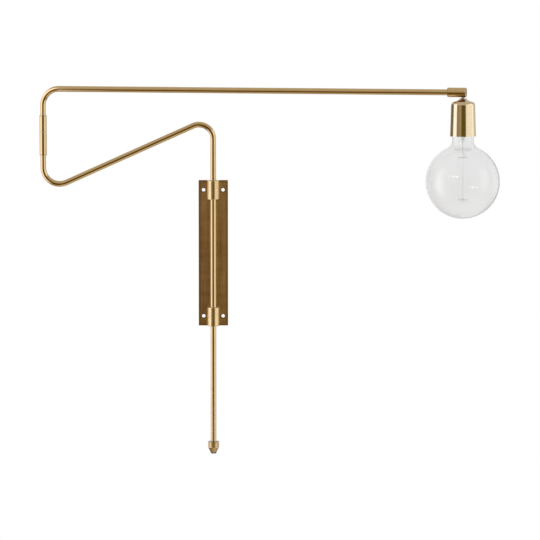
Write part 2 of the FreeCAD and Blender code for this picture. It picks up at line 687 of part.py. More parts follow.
def terminal_screws():
    """Two screw heads on the terminal block, as one group of solids."""
    body = new_body("terminal_screws")
    body.AllowCompound = True
    sketch = new_sketch(body, "XY_Plane", "terminal_screw_places")
    sketch.setExpression("AttachmentOffset.Base.z", bound(f"{BLOCK_TOP} + thrust_gap"))
    for sign in ("-", ""):
        circle(sketch, "terminal_screw_diameter / 2", up=f"{sign}(terminal_spacing / 2)")
    heads = body.newObject("PartDesign::Pad", "terminal_screw_heads")
    heads.Profile = sketch
    heads.setExpression("Length", bound("terminal_screw_height"))
    put(body, *at_lamp())


terminal_screws()

LEAD_R = "lead_diameter / 2"
LEAD_TURN = f"({HOLDER_CEILING} - lead_diameter)"
for label, sign in (("live_lead", "-"), ("neutral_lead", "")):
    beside = f"{sign}(lead_diameter + lead_gap) / 2"
    bent_tube(label, [
        (f"{sign}(terminal_spacing / 2)", f"{BLOCK_TOP} + part_gap"),
        (f"{sign}(terminal_spacing / 2)", LEAD_TURN, "lead_bend"),
        (beside, LEAD_TURN, "lead_bend"),
        (beside, f"{NIPPLE_TOP} + lead_diameter"),
    ], [LEAD_R], at_lamp(), side=f"{sign}(terminal_spacing / 2)")

# Bulb, measured from the middle of its globe. Its tip contact meets the holder's centre contact.

GLOBE_R = "(bulb_diameter / 2)"
NECK_R = "(bulb_neck_diameter / 2)"
FILLET_X = f"({NECK_R} + bulb_neck_fillet)"
FILLET_Z = f"(sqrt(({GLOBE_R} + bulb_neck_fillet) ^ 2 - {FILLET_X} ^ 2))"
NECK_TOP = f"({FILLET_Z} + bulb_neck_length)"
CAP_FOOT = f"({NECK_TOP} + bulb_shoulder)"
TIP_TOP = f"({CAP_FOOT} + cap_length)"
BULB_HEIGHT = f"{ARM_HEIGHT} + {CONTACT_FOOT} - thrust_gap - {TIP_TOP}"
INSULATOR_TOP = f"({TIP_TOP} - cap_contact_height)"
CAP_TOP = f"({INSULATOR_TOP} - cap_insulator_height)"
CAP_ROOM_R = f"({CAP_R} - cap_thread_depth - cap_wall)"
GLASS_CAP_R = f"({CAP_ROOM_R} - braze_gap)"
GLASS_TOP = f"({CAP_FOOT} + cap_glass_grip)"


def glass_wall_line(sketch, inset):
    """One face of the blown glass: globe, hollow fillet, neck and taper. Returns its end geometries."""
    globe = size(f"{GLOBE_R} - {inset}")
    fillet = size(f"bulb_neck_fillet + {inset}")
    fillet_centre = Vector(size(FILLET_X), size(FILLET_Z), 0)
    pole = Vector(0, -globe, 0)
    meet = fillet_centre * (globe / (globe + fillet))
    neck_foot = Vector(fillet_centre.x - fillet, fillet_centre.y, 0)
    neck_top = Vector(neck_foot.x, size(NECK_TOP), 0)
    taper_top = Vector(size(f"{GLASS_CAP_R} - {inset}"), size(CAP_FOOT), 0)
    open_end = Vector(taper_top.x, size(GLASS_TOP), 0)
    globe_arc = sketch.addGeometry(arc_between(Vector(), globe, pole, meet), False)
    fillet_arc = sketch.addGeometry(arc_between(fillet_centre, fillet, neck_foot, meet), False)
    neck = sketch.addGeometry(Part.LineSegment(neck_foot, neck_top), False)
    taper = sketch.addGeometry(Part.LineSegment(neck_top, taper_top), False)
    collar = sketch.addGeometry(Part.LineSegment(taper_top, open_end), False)
    sketch.addConstraint([
        Sketcher.Constraint("Coincident", globe_arc, 3, -1, 1),
        Sketcher.Constraint("PointOnObject", globe_arc, 1, -2),
        Sketcher.Constraint("Tangent", globe_arc, 2, fillet_arc, 2),
        Sketcher.Constraint("Tangent", fillet_arc, 1, neck, 1),
        Sketcher.Constraint("Vertical", neck),
        Sketcher.Constraint("Coincident", neck, 2, taper, 1),
        Sketcher.Constraint("Coincident", taper, 2, collar, 1),
    ])
    fix_radius(sketch, globe_arc, f"{GLOBE_R} - {inset}")
    fix_radius(sketch, fillet_arc, f"bulb_neck_fillet + {inset}")
    fix_point(sketch, taper, 1, f"{NECK_R} - {inset}", NECK_TOP)
    fix_point(sketch, collar, 1, f"{GLASS_CAP_R} - {inset}", CAP_FOOT)
    fix_point(sketch, collar, 2, f"{GLASS_CAP_R} - {inset}", GLASS_TOP)
    return globe_arc, collar


def bulb_glass():
    body = new_body("bulb_glass")
    sketch = new_sketch(body, "XZ_Plane", "bulb_glass_profile")
    outer_globe, outer_end = glass_wall_line(sketch, "0")
    inner_globe, inner_end = glass_wall_line(sketch, "glass_wall")
    for outer, inner, point in ((outer_globe, inner_globe, 1), (outer_end, inner_end, 2)):
        start = sketch.getPoint(outer, point)
        end = sketch.getPoint(inner, point)
        bridge = sketch.addGeometry(Part.LineSegment(start, end), False)
        sketch.addConstraint(Sketcher.Constraint("Coincident", bridge, 1, outer, point))
        sketch.addConstraint(Sketcher.Constraint("Coincident", bridge, 2, inner, point))
    blow = body.newObject("PartDesign::Revolution", "bulb_glass_blow")
    blow.Profile = sketch
    blow.ReferenceAxis = (sketch, ["V_Axis"])
    blow.Angle = 360
    put(body, *at_lamp(BULB_HEIGHT))


bulb_glass()

# Screw cap with its rolled thread, glass insulator and tip contact

CAP_ROOT_R = f"({CAP_R} - cap_thread_depth)"
thread = []
for turn_number in range(CAP_THREAD_TURNS):
    valley = f"{CAP_FOOT} + cap_skirt + {turn_number} * cap_thread_pitch"
    thread.append((CAP_ROOT_R, valley))
    thread.append((CAP_R, f"{valley} + cap_thread_pitch / 2"))
skirt = [(CAP_ROOM_R, CAP_FOOT), (CAP_R, CAP_FOOT), (CAP_R, f"{CAP_FOOT} + cap_skirt / 2")]
rim = [(CAP_ROOT_R, CAP_TOP), (CAP_ROOM_R, CAP_TOP)]
turned("bulb_cap", skirt + thread + rim, at_lamp(BULB_HEIGHT))
INSULATOR_FOOT = f"({CAP_TOP} - cap_insulator_height)"
turned("cap_insulator", [
    ("0", INSULATOR_FOOT), (GLASS_CAP_R, INSULATOR_FOOT), (GLASS_CAP_R, CAP_TOP),
    ("cap_contact_diameter / 2", INSULATOR_TOP), ("0", INSULATOR_TOP),
], at_lamp(BULB_HEIGHT))
turned("cap_contact", [
    ("0", f"{INSULATOR_TOP} + braze_gap"), ("cap_contact_diameter / 2", f"{INSULATOR_TOP} + braze_gap"),
    ("cap_contact_diameter / 2", TIP_TOP, "cap_contact_height / 2"), ("0", TIP_TOP),
], at_lamp(BULB_HEIGHT))

# Inside the globe: a hollow glass stem pinched round its wires, with a rod that carries two wire spiders

STEM_TOP = f"({GLASS_TOP} - glass_wall)"
FLARE_R = f"({GLASS_CAP_R} - glass_wall - braze_gap)"
PRESS_R = "(stem_press_diameter / 2)"
ROD_R = "(stem_rod_diameter / 2)"
PRESS_TOP = f"({STEM_TOP} - stem_flare_height)"
PRESS_FOOT = f"({PRESS_TOP} - stem_press_height)"
UPPER_SPIDER = f"({PRESS_FOOT} - filament_drop)"
LOWER_SPIDER = f"({UPPER_SPIDER} - filament_length)"
ROD_FOOT = f"({LOWER_SPIDER} - stem_rod_tail)"
turned("stem_glass", [
    ("0", ROD_FOOT), (ROD_R, ROD_FOOT), (ROD_R, PRESS_FOOT), (PRESS_R, PRESS_FOOT), (PRESS_R, PRESS_TOP),
    (FLARE_R, STEM_TOP), (f"{FLARE_R} - glass_wall", STEM_TOP), (f"{PRESS_R} - glass_wall", PRESS_TOP),
    ("0", PRESS_TOP),
], at_lamp(BULB_HEIGHT))


def spider(label, height):
    """A glass bead on the rod with a ring of straight support wires."""
    bead_r = "spider_hub / 2"
    bead_bore_r = f"{ROD_R} + braze_gap"
    low, high = f"{height} - spider_hub_height / 2", f"{height} + spider_hub_height / 2"
    body = turned(label, [(bead_bore_r, low), (bead_r, low), (bead_r, high), (bead_bore_r, high)],
                  at_lamp(BULB_HEIGHT))
    sketch = new_sketch(body, "YZ_Plane", label + "_wire_section")
    wire_start = "(spider_hub / 2 - support_wire)"
    sketch.setExpression("AttachmentOffset.Base.z", bound(wire_start))
    circle(sketch, "support_wire / 2", up=height)
    wire = body.newObject("PartDesign::Pad", label + "_wire")
    wire.Profile = sketch
    wire.setExpression("Length", bound(f"filament_circle / 2 - {wire_start}"))
    ring = body.newObject("PartDesign::PolarPattern", label + "_wires")
    ring.Originals = [wire]
    ring.Axis = (doc.getObject(label + "_profile"), ["V_Axis"])
    ring.Angle = 360
    ring.Occurrences = FILAMENT_STRANDS
    body.Tip = ring


spider("upper_spider", UPPER_SPIDER)
spider("lower_spider", LOWER_SPIDER)


def wire_solid(points, diameter):
    """A thin round wire through the points."""
    path = Part.makePolygon(points)
    start = Part.Circle(points[0], points[1] - points[0], diameter / 2)
    return path.makePipeShell([Part.Wire(start.toShape())], True, False, 1)


def loose_wires(label, shape):
    """A sub-part whose bends lie in no common plane, so that its sizes are read from the sheet."""
    piece = doc.addObject("Part::Feature", label)
    piece.Shape = shape
    put(piece, *at_lamp(BULB_HEIGHT))
    sub_parts.append(piece)


# Filament: one wire up and down between the spiders, and the two wires that feed its ends

hook = size("(support_wire + filament_wire) / 2 + braze_gap")
filament_top = size(UPPER_SPIDER) + hook
filament_foot = size(LOWER_SPIDER) - hook
strand_r = size("(filament_circle + filament_wire) / 2 + braze_gap")
filament_points = []
for strand in range(FILAMENT_STRANDS):
    angle = 2 * math.pi * strand / FILAMENT_STRANDS
    levels = (filament_top, filament_foot) if strand % 2 == 0 else (filament_foot, filament_top)
    for level in levels:
        filament_points.append(Vector(strand_r * math.cos(angle), strand_r * math.sin(angle), level))
loose_wires("filament", wire_solid(filament_points, size("filament_wire")))

feeds = []
for side, end in ((1, filament_points[0]), (-1, filament_points[-1])):
    below = size("(lead_wire + filament_wire) / 2 + braze_gap")
    root = Vector(0, side * size(f"{ROD_R} + lead_wire / 2 + part_gap"), size(f"{PRESS_FOOT} - braze_gap"))
    shoulder = root - UP * size("filament_drop / 3")
    feeds.append(wire_solid([root, shoulder, end + UP * below], size("lead_wire")))
loose_wires("lead_wires", Part.makeCompound(feeds))

# Every feature is checked, then each sub-part is written under its own name

doc.recompute()
for feature in doc.Objects:
    if "Invalid" in feature.State or "Error" in feature.State:
        raise RuntimeError(f"{feature.Label}: {feature.State}")
for piece in sub_parts:
    if piece.Shape.isNull() or not piece.Shape.isValid():
        raise RuntimeError(f"{piece.Label}: its shape is not valid")
os.makedirs("parts", exist_ok=True)
for piece in sub_parts:
    piece.Shape.exportStep(f"parts/{piece.Label}.step")
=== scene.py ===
import bmesh
import bpy
import math
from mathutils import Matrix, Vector


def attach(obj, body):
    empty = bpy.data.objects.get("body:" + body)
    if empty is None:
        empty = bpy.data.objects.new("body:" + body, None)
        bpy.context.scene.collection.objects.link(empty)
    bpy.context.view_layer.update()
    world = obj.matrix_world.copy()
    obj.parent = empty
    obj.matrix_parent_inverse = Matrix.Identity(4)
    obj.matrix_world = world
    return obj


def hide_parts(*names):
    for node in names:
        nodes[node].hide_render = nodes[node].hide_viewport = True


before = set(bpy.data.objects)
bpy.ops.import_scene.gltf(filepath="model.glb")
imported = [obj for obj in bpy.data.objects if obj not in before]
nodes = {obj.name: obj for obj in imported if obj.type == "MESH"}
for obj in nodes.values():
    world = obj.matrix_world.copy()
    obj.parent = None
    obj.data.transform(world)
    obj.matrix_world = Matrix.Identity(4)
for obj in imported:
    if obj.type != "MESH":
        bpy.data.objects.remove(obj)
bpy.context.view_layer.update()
MM = 0.001


# Back plate
# A flat bar of brass, sawn to length, brushed from end to end and left to age to a warm brown.
# Four plain holes near its corners take the wall screws.

PLATE_HALF_WIDTH = 25 * MM
PLATE_HALF_HEIGHT = 124 * MM
PLATE_EDGE_BAND = 5 * MM
HOLE_ACROSS = 16.5 * MM
HOLE_UP = 107.5 * MM
HOLE_RADIUS = 3 * MM
HOLE_DARK_BAND = 2.6 * MM
# Painted light: the plate lightens towards its top and its right side.
PAINTED_LIGHT_FOOT = 10 * MM
PAINTED_LIGHT_TOP = 45 * MM
PAINTED_LIGHT_SIDE = 14 * MM
PLATE_BROWN = (0.66, 0.395, 0.13)
PLATE_DARK = (0.225, 0.116, 0.036)
PLATE_LIGHT = (1.0, 0.625, 0.23)
PLATE_PAINTED_LIGHT = (1.0, 0.67, 0.24)
STREAK_SHARE = 0.8
WASH_SHARE = 0.7
CLOUD_SHARE = 0.35
LINE_SHARE = 0.22
# How dark the painted shade along the plate's edges goes
EDGE_SHADE_SHARE = 0.55
HOLE_DARK_SHARE = 0.7
PAINTED_LIGHT_UPPER_SHARE = 0.16
PAINTED_LIGHT_RIGHT_SHARE = 0.2
PLATE_SMOOTH = 0.34
PLATE_CLOUD_DULL = 0.16
PLATE_LINE_DULL = 0.08
PLATE_RELIEF = 0.02 * MM
PLATE_PATCH = 22 * MM
PATCH_STRETCH = (1.0, 1.0, 0.35)
# Marks of the brush, in repeats per metre across, out and up
PLATE_LINES = (2600, 2600, 26)
PLATE_STREAKS = (330, 330, 4.5)
PLATE_BANDS = (110, 110, 7)
PLATE_MARKS = (9, 9, 60)


def feed(tree, socket, value):
    """Sets an input or links it to another node's output; a colour is given as red, green and blue."""
    if isinstance(value, bpy.types.NodeSocket):
        tree.links.new(value, socket)
    elif socket.type == "RGBA":
        socket.default_value = (*value, 1)
    else:
        socket.default_value = value


def add(tree, kind, settings=None, **inputs):
    """A new node with its settings and its named inputs."""
    node = tree.nodes.new(kind)
    for name, value in (settings or {}).items():
        setattr(node, name, value)
    for name, value in inputs.items():
        feed(tree, node.inputs[name.replace("_", " ")], value)
    return node


def math_node(tree, operation, *values):
    """One step of arithmetic on numbers and node outputs."""
    node = add(tree, "ShaderNodeMath", {"operation": operation})
    for socket, value in zip(node.inputs, values):
        feed(tree, socket, value)
    return node.outputs["Value"]


def plus(tree, first, second):
    return math_node(tree, "ADD", first, second)


def minus(tree, first, second):
    return math_node(tree, "SUBTRACT", first, second)


def times(tree, first, second):
    return math_node(tree, "MULTIPLY", first, second)


def over(tree, first, second):
    return math_node(tree, "DIVIDE", first, second)


def vector_node(tree, operation, *values, out="Vector"):
    """One step of arithmetic on vectors; a number counts as a vector of three like it."""
    node = add(tree, "ShaderNodeVectorMath", {"operation": operation})
    for socket, value in zip(node.inputs, values):
        feed(tree, socket, value)
    return node.outputs[out]


def parted(tree, vector):
    """The X, Y and Z of a vector."""
    return add(tree, "ShaderNodeSeparateXYZ", Vector=vector).outputs


def joined(tree, **parts):
    """A vector from its X, Y and Z."""
    return add(tree, "ShaderNodeCombineXYZ", **parts).outputs["Vector"]


def mixed(tree, share, first, second):
    """Two colours blended by a share from 0 to 1."""
    node = add(tree, "ShaderNodeMix", {"data_type": "RGBA"})
    inputs = {socket.identifier: socket for socket in node.inputs}
    for name, value in (("Factor_Float", share), ("A_Color", first), ("B_Color", second)):
        feed(tree, inputs[name], value)
    return next(socket for socket in node.outputs if socket.identifier == "Result_Color")


def ranged(tree, value, low, high, start=0.0, end=1.0):
    """A value mapped smoothly from low..high to start..end and held at the ends."""
    return add(tree, "ShaderNodeMapRange", {"interpolation_type": "SMOOTHSTEP"}, Value=value, From_Min=low,
               From_Max=high, To_Min=start, To_Max=end).outputs["Result"]


def noise(tree, vector, per_metre, detail, rough=0.5, twist=0.0):
    """A cloudy value from 0 to 1."""
    return add(tree, "ShaderNodeTexNoise", Vector=vector, Scale=per_metre, Detail=detail, Roughness=rough,
               Distortion=twist).outputs["Fac"]


def object_place(tree):
    return add(tree, "ShaderNodeTexCoord").outputs["Object"]


def add_sockets(tree, way, sockets):
    for label, kind in sockets.items():
        tree.interface.new_socket(label, in_out=way, socket_type="NodeSocket" + kind)


def new_group(name, inputs, outputs):
    """An empty shader node group with named sockets; returns its tree, its inputs and its output node."""
    tree = bpy.data.node_groups.new(name, "ShaderNodeTree")
    add_sockets(tree, "INPUT", inputs)
    add_sockets(tree, "OUTPUT", outputs)
    return tree, tree.nodes.new("NodeGroupInput").outputs, tree.nodes.new("NodeGroupOutput")


def grouped(tree, group, **inputs):
    """A shader node group placed in a tree, with its own values."""
    return add(tree, "ShaderNodeGroup", {"node_tree": group}, **inputs).outputs


def brush_lines_group():
    """Fine lines left by abrasive: the pattern runs slowly along the grain and fast across it."""
    contrast = (0.3, 0.7)
    tree, inside, out = new_group("brush lines", {"Vector": "Vector", "Stretch": "Vector"},
                                  {"Lines": "Float"})
    stretched = vector_node(tree, "MULTIPLY", inside["Vector"], inside["Stretch"])
    lines = noise(tree, stretched, 1.0, detail=4.0, rough=0.7)
    feed(tree, out.inputs["Lines"], ranged(tree, lines, *contrast))
    return tree


def tarnish_group():
    """Clouds of tarnish: broad patches with small specks in them."""
    specks_per_patch = 9.0
    speck_share = 0.25
    cloud_contrast = (0.35, 0.7)
    speck_contrast = (0.5, 0.72)
    tree, inside, out = new_group("tarnish", {"Vector": "Vector", "Patch Size": "Float"},
                                  {"Tarnish": "Float"})
    per_metre = over(tree, 1.0, inside["Patch Size"])
    clouds = noise(tree, inside["Vector"], per_metre, detail=5.0, rough=0.6, twist=0.5)
    specks = noise(tree, inside["Vector"], times(tree, per_metre, specks_per_patch), detail=3.0, rough=0.7)
    broad = times(tree, ranged(tree, clouds, *cloud_contrast), 1 - speck_share)
    fine = times(tree, ranged(tree, specks, *speck_contrast), speck_share)
    feed(tree, out.inputs["Tarnish"], plus(tree, broad, fine))
    return tree


BRUSH_LINES = brush_lines_group()
TARNISH = tarnish_group()


def new_material(name, **constants):
    """A Principled material with its constant sockets; returns it, its tree and its shader."""
    material = bpy.data.materials.new(name)
    material.use_nodes = True
    tree = material.node_tree
    shader = tree.nodes["Principled BSDF"]
    for socket, value in constants.items():
        feed(tree, shader.inputs[socket.replace("_", " ")], value)
    return material, tree, shader


def surface(tree, shader, colour, rough, height, depth, strength=0.5):
    """Gives a shader its colour, its roughness and a fine relief, whose depth is in metres."""
    relief = add(tree, "ShaderNodeBump", Strength=strength, Distance=depth, Height=height)
    feed(tree, shader.inputs["Base Color"], colour)
    feed(tree, shader.inputs["Roughness"], rough)
    feed(tree, shader.inputs["Normal"], relief.outputs["Normal"])


def dress(material, *names):
    """Gives CAD nodes their finished material."""
    for name in names:
        for slot in nodes[name].material_slots:
            slot.material = material


def aged_plate_brass():
    """Brown brush-marked brass with painted shade at its edges, darker round its holes and with painted
    light above and to the right.
    """
    material, tree, shader = new_material("aged plate brass", Metallic=1.0)
    place = object_place(tree)
    apart = parted(tree, place)
    lines, streaks, bands, marks = (
        grouped(tree, BRUSH_LINES, Vector=place, Stretch=stretch)["Lines"]
        for stretch in (PLATE_LINES, PLATE_STREAKS, PLATE_BANDS, PLATE_MARKS))
    drawn_out = vector_node(tree, "MULTIPLY", place, PATCH_STRETCH)
    clouds = grouped(tree, TARNISH, Vector=drawn_out, Patch_Size=PLATE_PATCH)["Tarnish"]
    across = math_node(tree, "ABSOLUTE", apart["X"])
    up = math_node(tree, "ABSOLUTE", apart["Z"])
    # Painted shade: the plate darkens towards its edges, ragged by the tarnish clouds.
    side_gap = minus(tree, PLATE_HALF_WIDTH, across)
    end_gap = minus(tree, PLATE_HALF_HEIGHT, up)
    ragged = times(tree, clouds, PLATE_EDGE_BAND / 2)
    edge_gap = minus(tree, math_node(tree, "MINIMUM", side_gap, end_gap), ragged)
    edge = ranged(tree, edge_gap, 0.0, PLATE_EDGE_BAND, EDGE_SHADE_SHARE, 0.0)
    # The plate darkens in a ring round each hole.
    in_corner = joined(tree, X=across, Z=up)
    hole_gap = vector_node(tree, "DISTANCE", in_corner, (HOLE_ACROSS, 0.0, HOLE_UP), out="Value")
    hole_dark = ranged(tree, hole_gap, HOLE_RADIUS, HOLE_RADIUS + HOLE_DARK_BAND, HOLE_DARK_SHARE, 0.0)
    # Painted light: lighter towards the top and towards the right side.
    upper = ranged(tree, apart["Z"], PAINTED_LIGHT_FOOT, PAINTED_LIGHT_TOP, 0.0, PAINTED_LIGHT_UPPER_SHARE)
    right = ranged(tree, apart["X"], -PAINTED_LIGHT_SIDE, PAINTED_LIGHT_SIDE, 0.0, PAINTED_LIGHT_RIGHT_SHARE)
    tone = mixed(tree, times(tree, streaks, STREAK_SHARE), PLATE_BROWN, PLATE_LIGHT)
    tone = mixed(tree, times(tree, plus(tree, bands, marks), WASH_SHARE / 2), tone, PLATE_DARK)
    tone = mixed(tree, times(tree, clouds, CLOUD_SHARE), tone, PLATE_DARK)
    tone = mixed(tree, plus(tree, upper, right), tone, PLATE_PAINTED_LIGHT)
    tone = mixed(tree, math_node(tree, "MAXIMUM", edge, hole_dark), tone, PLATE_DARK)
    tone = mixed(tree, times(tree, lines, LINE_SHARE), tone, PLATE_DARK)
    dull = plus(tree, times(tree, clouds, PLATE_CLOUD_DULL), times(tree, lines, PLATE_LINE_DULL))
    surface(tree, shader, tone, plus(tree, dull, PLATE_SMOOTH), lines, PLATE_RELIEF)
    return material


dress(aged_plate_brass(), "back_plate")


# Bearing sleeves
# Two short lengths of turned brass with a flat filed on the back, brazed to the plate's front.
# The lathe leaves fine rings; the rims are broken and rubbed a little brighter.

SLEEVE_TOP = 124 * MM
SLEEVE_BOTTOM = 92 * MM
SLEEVE_RIMS = (SLEEVE_TOP, SLEEVE_BOTTOM, -SLEEVE_BOTTOM, -SLEEVE_TOP)
RIM_BAND = 0.9 * MM
RIM_SHARE = 0.6
SOIL_AND_SHADE_BAND = 1.3 * MM
BRASS = (0.67, 0.45, 0.16)
BRASS_AGED = (0.50, 0.315, 0.09)
BRASS_RUBBED = (0.80, 0.61, 0.33)
SLEEVE_BRASS = (0.74, 0.51, 0.19)
# Dark joint bands: soil at the elbow, painted shade at the cord grip's top, the barrel's near end and the
# cup's crown.
JOINT_SOIL_AND_SHADE = (0.13, 0.075, 0.025)
BRASS_AGE = 0.3
BRASS_LINES = 0.12
COARSE_LINES = 0.14
CLOUD_DULL = 0.7
LINE_DULL = 0.3
SOIL_AND_SHADE_DULL = 0.2
RUBBED_GLOSS = 0.08
TURNED_PATCH = 12 * MM
TURNED_RELIEF = 0.002 * MM
LATHE_RINGS = (40, 40, 5200)
LACQUER_IOR = 1.7
LACQUER_ROUGH = 0.08


def brass_group():
    """Colour, roughness and relief of worked brass from its lines, its tarnish and its rubbed edges."""
    tree, inside, out = new_group(
        "worked brass",
        {"Vector": "Vector", "Stretch": "Vector", "Patch Size": "Float", "Age": "Float", "Edge": "Float",
         "Soil": "Float", "Line Depth": "Float", "Smooth": "Float", "Dull": "Float", "Clean Brass": "Color",
         "Aged Brass": "Color", "Rubbed Brass": "Color", "Soil Tone": "Color"},
        {"Colour": "Color", "Roughness": "Float", "Height": "Float"})
    lines = grouped(tree, BRUSH_LINES, Vector=inside["Vector"], Stretch=inside["Stretch"])["Lines"]
    coarse = vector_node(tree, "MULTIPLY", inside["Stretch"], 3 * (COARSE_LINES,))
    wide = grouped(tree, BRUSH_LINES, Vector=inside["Vector"], Stretch=coarse)["Lines"]
    clouds = grouped(tree, TARNISH, Vector=inside["Vector"], Patch_Size=inside["Patch Size"])["Tarnish"]
    streak = times(tree, plus(tree, lines, wide), inside["Line Depth"])
    tone = mixed(tree, times(tree, clouds, inside["Age"]), inside["Clean Brass"], inside["Aged Brass"])
    tone = mixed(tree, streak, tone, inside["Aged Brass"])
    tone = mixed(tree, inside["Edge"], tone, inside["Rubbed Brass"])
    # The Soil input darkens joints: real soil at some, painted shade at others.
    tone = mixed(tree, inside["Soil"], tone, inside["Soil Tone"])
    spread = minus(tree, inside["Dull"], inside["Smooth"])
    share = plus(tree, times(tree, clouds, CLOUD_DULL), times(tree, lines, LINE_DULL))
    rough = plus(tree, inside["Smooth"], times(tree, spread, share))
    rough = plus(tree, rough, times(tree, inside["Soil"], SOIL_AND_SHADE_DULL))
    rough = minus(tree, rough, times(tree, inside["Edge"], RUBBED_GLOSS))
    for name, value in (("Colour", tone), ("Roughness", rough), ("Height", lines)):
        feed(tree, out.inputs[name], value)
    return tree


WORKED_BRASS = brass_group()


def lacquered(name):
    """A material of metal under clear lacquer, still without its colour."""
    return new_material(name, Metallic=1.0, Coat_Weight=1.0, Coat_Roughness=LACQUER_ROUGH,
                        Coat_IOR=LACQUER_IOR)


def work_brass(tree, shader, relief, clean=BRASS, **inputs):
    """Gives a shader the colour, roughness and relief of worked brass."""
    made = grouped(tree, WORKED_BRASS, Clean_Brass=clean, Aged_Brass=BRASS_AGED, Rubbed_Brass=BRASS_RUBBED,
                   Soil_Tone=JOINT_SOIL_AND_SHADE, **inputs)
    surface(tree, shader, made["Colour"], made["Roughness"], made["Height"], relief)


def end_bands(tree, along, ends, band):
    """A mask of 1 at each of the named stations along a piece, falling to 0 a band away."""
    full_share = 0.2
    mask = 0.0
    for end in ends:
        gap = math_node(tree, "ABSOLUTE", minus(tree, along, end))
        mask = math_node(tree, "MAXIMUM", mask, ranged(tree, gap, full_share * band, band, 1.0, 0.0))
    return mask


def turned_brass(name, rims, joints=(), turn=0.0, rings=LATHE_RINGS, smooth=0.12, dull=0.2, age=BRASS_AGE,
                 lines=BRASS_LINES, clean=BRASS):
    """Brass off the lathe: rings round its axis, rims rubbed bright and dark joint bands, soil at some and
    painted shade at others.
    """
    material, tree, shader = lacquered(name)
    place = object_place(tree)
    if turn:
        place = add(tree, "ShaderNodeMapping", Vector=place, Rotation=(0, 0, turn)).outputs["Vector"]
    along = parted(tree, place)["X" if turn else "Z"]
    edge = times(tree, end_bands(tree, along, rims, RIM_BAND), RIM_SHARE)
    soil_and_shade = end_bands(tree, along, joints, SOIL_AND_SHADE_BAND)
    work_brass(tree, shader, TURNED_RELIEF, clean, Vector=place, Stretch=rings, Patch_Size=TURNED_PATCH,
               Age=age, Edge=edge, Soil=soil_and_shade, Line_Depth=lines, Smooth=smooth, Dull=dull)
    return material


dress(turned_brass("turned sleeve brass", SLEEVE_RIMS, smooth=0.25, dull=0.33, clean=SLEEVE_BRASS),
      "upper_sleeve", "lower_sleeve")


# Braze beads
# Where a sleeve meets the plate the braze has run into the joint and set as a narrow, slightly uneven bead
# along both sides.

BEAD_RADIUS = 0.55 * MM
BEAD_ACROSS = 5.1 * MM
BEAD_OUT = -3.4 * MM
BEAD_END_GAP = 1.2 * MM
BEAD_RIPPLE = 3 * MM
BEAD_STEP = 0.5 * MM
BEAD_SIDES = 10
BEAD_TAPER = (-0.01, 0.05)
BEAD_LEAST = 0.5
BRAZE = (0.66, 0.53, 0.28)
BRAZE_DARK = (0.34, 0.24, 0.10)
METAL_GRAIN = (900, 900, 4000)
METAL_RELIEF = 0.006 * MM


def runs_of(name, *chains):
    """An object of straight runs only; each corner holds a point and the radius it is to be bent to."""
    corners = []
    edges = []
    for chain in chains:
        first = len(corners)
        corners += chain
        edges += [(first + i, first + i + 1) for i in range(len(chain) - 1)]
    mesh = bpy.data.meshes.new(name)
    mesh.from_pydata([corner[:3] for corner in corners], edges, [])
    bends = mesh.attributes.new("bend", "FLOAT", "POINT")
    bends.data.foreach_set("value", [corner[3] for corner in corners])
    start = bpy.data.objects.new(name, mesh)
    bpy.context.scene.collection.objects.link(start)
    return start


def grown(start, tree, wall=0.0, **inputs):
    """Runs a geometry node tree on an object and keeps its result as a plain mesh."""
    made = start.modifiers.new("grow", "NODES")
    made.node_group = tree
    sockets = {s.name: s.identifier for s in tree.interface.items_tree if s.in_out == "INPUT"}
    for name, value in inputs.items():
        made[sockets[name.replace("_", " ")]] = value
    if wall:
        thick = start.modifiers.new("wall", "SOLIDIFY")
        thick.thickness = wall
        thick.offset = -1.0
    bpy.context.view_layer.update()
    graph = bpy.context.evaluated_depsgraph_get()
    plain = bpy.data.meshes.new_from_object(start.evaluated_get(graph), preserve_all_data_layers=True,
                                            depsgraph=graph)
    start.modifiers.clear()
    start.data = plain
    return start


def new_growth(name, inputs):
    """An empty geometry node tree; returns it with its inputs and a function that ends it."""
    tree = bpy.data.node_groups.new(name, "GeometryNodeTree")
    add_sockets(tree, "INPUT", {**inputs, "Finish": "Material"})
    add_sockets(tree, "OUTPUT", {"Made": "Geometry"})
    inside = tree.nodes.new("NodeGroupInput").outputs
    out = tree.nodes.new("NodeGroupOutput")

    def end(geometry):
        smooth = add(tree, "GeometryNodeSetShadeSmooth", Geometry=geometry).outputs["Geometry"]
        whole = add(tree, "GeometryNodeRealizeInstances", Geometry=smooth).outputs["Geometry"]
        done = add(tree, "GeometryNodeSetMaterial", Geometry=whole, Material=inside["Finish"])
        feed(tree, out.inputs["Made"], done.outputs["Geometry"])
        return tree

    return tree, inside, end


def curves_of(tree, runs):
    return add(tree, "GeometryNodeMeshToCurve", Mesh=runs).outputs["Curve"]


def spaced(tree, curve, step):
    """A curve with its points an even step apart."""
    return add(tree, "GeometryNodeResampleCurve", {"mode": "LENGTH"}, Curve=curve,
               Length=step).outputs["Curve"]


def circle(tree, sides, radius):
    return add(tree, "GeometryNodeCurvePrimitiveCircle", Resolution=sides, Radius=radius).outputs["Curve"]


def swept(tree, path, section, **options):
    """The skin that a section leaves along a path."""
    return add(tree, "GeometryNodeCurveToMesh", Curve=path, Profile_Curve=section,
               **options).outputs["Mesh"]


def here(tree):
    return add(tree, "GeometryNodeInputPosition").outputs["Position"]


